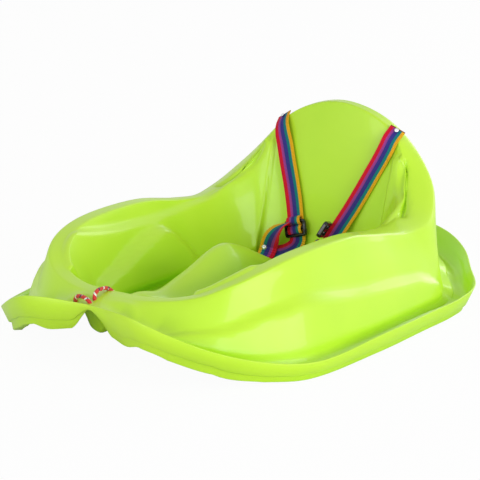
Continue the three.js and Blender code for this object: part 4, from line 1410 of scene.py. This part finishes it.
# Each station of a strap or tail is a place and the way across the webbing there.
LEFT_STRAP: tuple[Row, ...] = (
    (91.7, 231.1, 215.4, -0.90, -0.16, 0.41), (90.4, 226.1, 210.7, -0.90, -0.16, 0.41),
    (89.1, 220.6, 206.2, -0.90, -0.17, 0.40), (88.2, 215.4, 201.5, -0.90, -0.19, 0.38),
    (85.6, 211.6, 192.5, -0.89, -0.20, 0.40), (79.5, 208.3, 178.0, -0.88, -0.19, 0.45),
    (67.7, 202.8, 153.6, -0.87, -0.18, 0.46), (55.5, 197.9, 129.0, -0.86, -0.18, 0.47),
    (43.7, 191.0, 104.9, -0.86, -0.18, 0.47), (33.1, 180.2, 81.6, -0.86, -0.18, 0.47),
    (25.1, 172.4, 64.0, -0.88, -0.17, 0.42), (21.5, 168.6, 54.0, -0.90, -0.24, 0.10),
    (23.5, 168.4, 46.0, -0.70, -0.45, -0.45), (30.0, 169.5, 39.5, -0.45, -0.60, -0.66),
    (40.1, 170.8, 34.9, -0.36, -0.68, -0.64), (53.1, 171.0, 31.6, -0.15, -0.65, -0.72),
    (66.2, 173.0, 31.0, 0.15, -0.53, -0.83), (78.9, 173.6, 34.9, 0.25, -0.45, -0.86),
    (85.2, 172.2, 37.4, 0.25, -0.45, -0.86),
)
RIGHT_STRAP: tuple[Row, ...] = (
    (-91.8, 231.9, 214.6, -0.85, 0.09, -0.52), (-90.1, 226.4, 210.9, -0.85, 0.09, -0.52),
    (-88.4, 220.8, 207.1, -0.86, 0.08, -0.50), (-86.2, 215.6, 202.0, -0.89, 0.04, -0.45),
    (-83.0, 211.9, 194.5, -0.92, -0.04, -0.38), (-76.6, 208.5, 178.6, -0.94, -0.13, -0.31),
    (-67.5, 202.9, 153.2, -0.94, -0.13, -0.31), (-58.3, 198.0, 127.5, -0.94, -0.13, -0.31),
    (-49.9, 192.5, 101.8, -0.96, -0.12, -0.26), (-44.3, 187.8, 82.4, -0.96, -0.12, -0.25),
    (-38.5, 183.2, 63.0, -0.96, -0.13, -0.25), (-35.6, 180.4, 52.0, -0.99, -0.04, 0.05),
    (-38.2, 177.5, 44.9, -0.86, 0.25, 0.40), (-44.5, 174.5, 39.6, -0.66, 0.46, 0.58),
    (-53.6, 171.0, 35.0, -0.48, 0.62, 0.62), (-64.0, 169.0, 32.0, -0.10, 0.62, 0.78),
    (-72.5, 171.5, 30.9, 0.32, 0.56, 0.76), (-81.5, 172.8, 34.3, 0.44, 0.52, 0.73),
    (-86.9, 171.8, 38.4, 0.44, 0.52, 0.73),
)
LEFT_TAIL: tuple[Row, ...] = (
    (77.2, 168.6, 34.4, 0.70, -0.48, -0.53), (81.6, 168.0, 38.6, 0.66, -0.40, -0.60),
    (83.4, 165.2, 43.4, 0.50, 0.10, 0.30), (80.2, 161.8, 47.0, 0.20, 0.43, 0.85),
    (73.5, 163.5, 50.5, 0.45, 0.45, 0.77), (65.4, 167.4, 53.0, 0.36, 0.44, 0.80),
    (54.0, 168.4, 55.2, 0.02, 0.38, 0.92), (42.0, 164.5, 55.6, -0.17, 0.33, 0.93),
    (30.0, 159.0, 55.0, -0.15, 0.24, 0.95), (20.0, 154.4, 55.2, -0.20, 0.50, 0.80),
    (13.0, 152.2, 58.5, -0.30, 0.80, 0.35), (13.4, 153.4, 66.1, -0.36, 0.90, -0.20),
)
RIGHT_TAIL: tuple[Row, ...] = (
    (-77.2, 171.0, 27.4, 1.0, -0.07, 0.06), (-75.5, 169.0, 34.5, 0.97, 0.03, 0.2),
    (-73.8, 166.0, 41.3, 0.94, 0.12, 0.32), (-67.0, 163.0, 54.8, 0.97, 0.01, 0.26),
    (-58.1, 164.0, 66.7, 0.93, -0.27, 0.25), (-50.5, 168.0, 74.4, 0.77, -0.57, 0.27),
    (-44.3, 173.0, 78.4, 0.68, -0.68, 0.27),
)
# The far webbing folds over its adjuster's top bar and shows again in the window below.
RIGHT_ACROSS: Row = (-0.96, -0.12, -0.26)
RIGHT_FOLD: tuple[Row, ...] = (
    (-44.2, 188.7, 81.7), (-44.4, 185.2, 84.1), (-43.6, 180.4, 83.3), (-42.3, 178.0, 79.5),
    (-41.4, 178.6, 75.8), (-41.2, 181.7, 73.6), (-41.3, 185.5, 72.4),
)
RIGHT_TURN: tuple[Row, ...] = (
    (-41.0, 185.3, 71.3), (-40.5, 179.8, 72.1), (-39.6, 177.1, 69.8), (-38.6, 176.3, 66.5),
    (-37.8, 177.6, 62.7), (-37.9, 182.8, 60.8),
)


@dataclass(frozen=True)
class Harness:
    """The two shoulder straps with their tails, adjusters, rivets and washers.

    The far folds lie on their adjuster and not on the sheet, so `no_lift` leaves them where they are.
    """

    webbing: WovenPolypropylene = WovenPolypropylene()
    near_width: float = 22.6
    far_width: float = 25.0
    fold_width: float = 21.0
    fold_step: float = 1.5
    no_lift: float = -50.0
    upper_head: Pair = (3.0, 1.5)

    def build(self, sheet: Sheet) -> None:
        """Builds both sides.

        Args:
            sheet: The moulded sheet that the harness lies on.
        """
        webbing, plastic, metal = self.webbing.material(), ACETAL.material(), ALUMINIUM.material()
        for side, width, strap_stations, tail_stations in (
            ("left", self.near_width, LEFT_STRAP, LEFT_TAIL),
            ("right", self.far_width, RIGHT_STRAP, RIGHT_TAIL),
        ):
            strap = Band(f"{side}_webbing", strap_stations, width).build(sheet, webbing)
            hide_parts(f"{side}_shoulder_strap")
            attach(strap, Body.SLED.value)
            tail = Band(f"{side}_webbing_tail", tail_stations, sealed=(True, False)).build(sheet, webbing)
            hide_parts(f"{side}_strap_tail")
            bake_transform(tail)
        for name, places in (("right_webbing_fold", RIGHT_FOLD), ("right_webbing_turn", RIGHT_TURN)):
            stations = tuple((*place, *RIGHT_ACROSS) for place in places)
            folded = Band(
                name, stations, self.fold_width, step=self.fold_step, gap=self.no_lift,
                sealed=(False, False),
            ).build(sheet, webbing)
            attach(folded, Body.RIGHT_ADJUSTER.value)
        Adjuster(
            "left_adjuster_frame", "left_strap_adjuster", Body.LEFT_ADJUSTER,
            (18.77, 164.04, 79.55), (0.38547, 0.37313, 0.84391), (0.8515, 0.2086, -0.4811),
        ).build(plastic)
        Adjuster(
            "right_adjuster_frame", "right_strap_adjuster", Body.RIGHT_ADJUSTER,
            (-39.84, 181.55, 68.65), (-0.27698, 0.22156, 0.93498), (0.0530, -0.9680, 0.2451),
        ).build(plastic)
        for rivet in (
            Rivet("left_upper", (90, 229.64, 211.19), (0.398, -0.681, 0.614), 6.58, 11.1,
                  *self.upper_head),
            Rivet("left_lower", (82.5, 176.18, 34.58), (-0.317, -0.874, 0.367), 12.59, 3.4),
            Rivet("right_upper", (-90, 229.54, 211.19), (-0.463, -0.590, 0.662), 6.0, 9.2,
                  *self.upper_head),
            Rivet("right_lower", (-85, 175.4, 34.58), (0.392, -0.843, 0.368), 15.5, 3.0),
        ):
            rivet.build(metal)


@dataclass(frozen=True)
class Softbox:
    """A soft lamp, with its place and size in metres and its power in watts."""

    name: str
    place: Row
    size: Pair
    power: float

    def build(self, aim: Row) -> None:
        """Hangs the lamp.

        Args:
            aim: What it points at, in metres.
        """
        data = bpy.data.lights.new(self.name, "AREA")
        data.shape = "RECTANGLE"
        data.size, data.size_y = self.size
        data.energy = self.power
        lamp = bpy.data.objects.new(self.name, data)
        lamp.location = self.place
        lamp.rotation_euler = (Vector(aim) - Vector(self.place)).to_track_quat("-Z", "Y").to_euler()
        bpy.context.scene.collection.objects.link(lamp)


@dataclass(frozen=True)
class Studio:
    """The photograph's view, a white floor and soft light from the side, the front and the rear."""

    camera_place: Row = (1.4430, -2.0295, 0.7503)
    camera_turn_deg: Row = (75.3, 0.0, 35.5)
    lens_mm: float = 149.25
    sensor_mm: float = 36.0
    floor_size: float = 12.0
    floor_depth_mm: float = 0.2
    floor_colour: str = "#F4F4F2"
    floor_white: float = 0.96
    sky: float = 0.46
    aim: Row = (0, 0, 0.1)
    softboxes: tuple[Softbox, ...] = (
        Softbox("key_softbox", (3.1, -0.2, 0.8), (3.0, 1.4), 55.0),
        Softbox("front_softbox", (0.0, -3.3, 0.9), (2.5, 1.4), 36.0),
        Softbox("rear_softbox", (0.5, 3.2, 1.2), (1.8, 1.4), 26.0),
    )

    def camera(self) -> None:
        """Makes the camera at the photograph's viewing angle."""
        data = bpy.data.cameras.new("photo_view")
        data.lens = self.lens_mm
        data.sensor_width = self.sensor_mm
        camera = bpy.data.objects.new("photo_view", data)
        camera.location = self.camera_place
        camera.rotation_euler = [math.radians(turn) for turn in self.camera_turn_deg]
        bpy.context.scene.collection.objects.link(camera)
        bpy.context.scene.camera = camera

    def floor(self) -> None:
        """Lays a pale floor that looks white and shows the object's shadow faintly."""
        material, tree = empty_material("studio_floor_paper")
        is_seen = add_node(tree, "ShaderNodeLightPath", {}, {}).outputs["Is Camera Ray"]
        paper = add_node(tree, "ShaderNodeBsdfDiffuse", {}, {"Color": linear(self.floor_colour)})
        glow = add_node(tree, "ShaderNodeEmission", {}, {"Color": (1, 1, 1, 1), "Strength": 1.0})
        mix = add_node(tree, "ShaderNodeMixShader", {}, {
            0: maths(tree, "MULTIPLY", is_seen, self.floor_white), 1: paper.outputs[0], 2: glow.outputs[0],
        })
        add_node(tree, "ShaderNodeOutputMaterial", {}, {"Surface": mix.outputs[0]})
        bm = bmesh.new()
        bmesh.ops.create_grid(bm, x_segments=2, y_segments=2, size=self.floor_size / 2)
        bmesh.ops.translate(bm, verts=bm.verts, vec=(0, 0, -self.floor_depth_mm * MM))
        finished("studio_floor", bm, material)

    def world(self) -> None:
        """Makes a white surround that lights the object plainly."""
        world = bpy.data.worlds.new("studio")
        world.use_nodes = True
        tree = world.node_tree
        tree.nodes.clear()
        path = add_node(tree, "ShaderNodeLightPath", {}, {})
        rays = maths(tree, "MAXIMUM", path.outputs["Is Camera Ray"], path.outputs["Is Glossy Ray"])
        seen = maths(tree, "MAXIMUM", rays, path.outputs["Is Transmission Ray"])
        back = add_node(tree, "ShaderNodeBackground", {}, {
            "Color": (1, 1, 1, 1), "Strength": spread(tree, seen, (0.0, 1.0), (self.sky, 1.0)),
        })
        add_node(tree, "ShaderNodeOutputWorld", {}, {"Surface": back.outputs[0]})
        bpy.context.scene.world = world

    def build(self) -> None:
        """Makes floor, surround and lamps."""
        self.floor()
        self.world()
        for softbox in self.softboxes:
            softbox.build(self.aim)
        bpy.context.scene.view_settings.view_transform = "Standard"


def main() -> None:
    """Builds the studio, the rope, the tub and the harness in order."""
    logging.basicConfig(level=logging.INFO, format="%(name)s %(message)s")
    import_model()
    studio = Studio()
    studio.camera()
    TowRope().build()
    tub = MouldedTub().build()
    Harness().build(Sheet(tub))
    studio.build()
    bpy.context.view_layer.update()


if __name__ == "__main__":
    main()
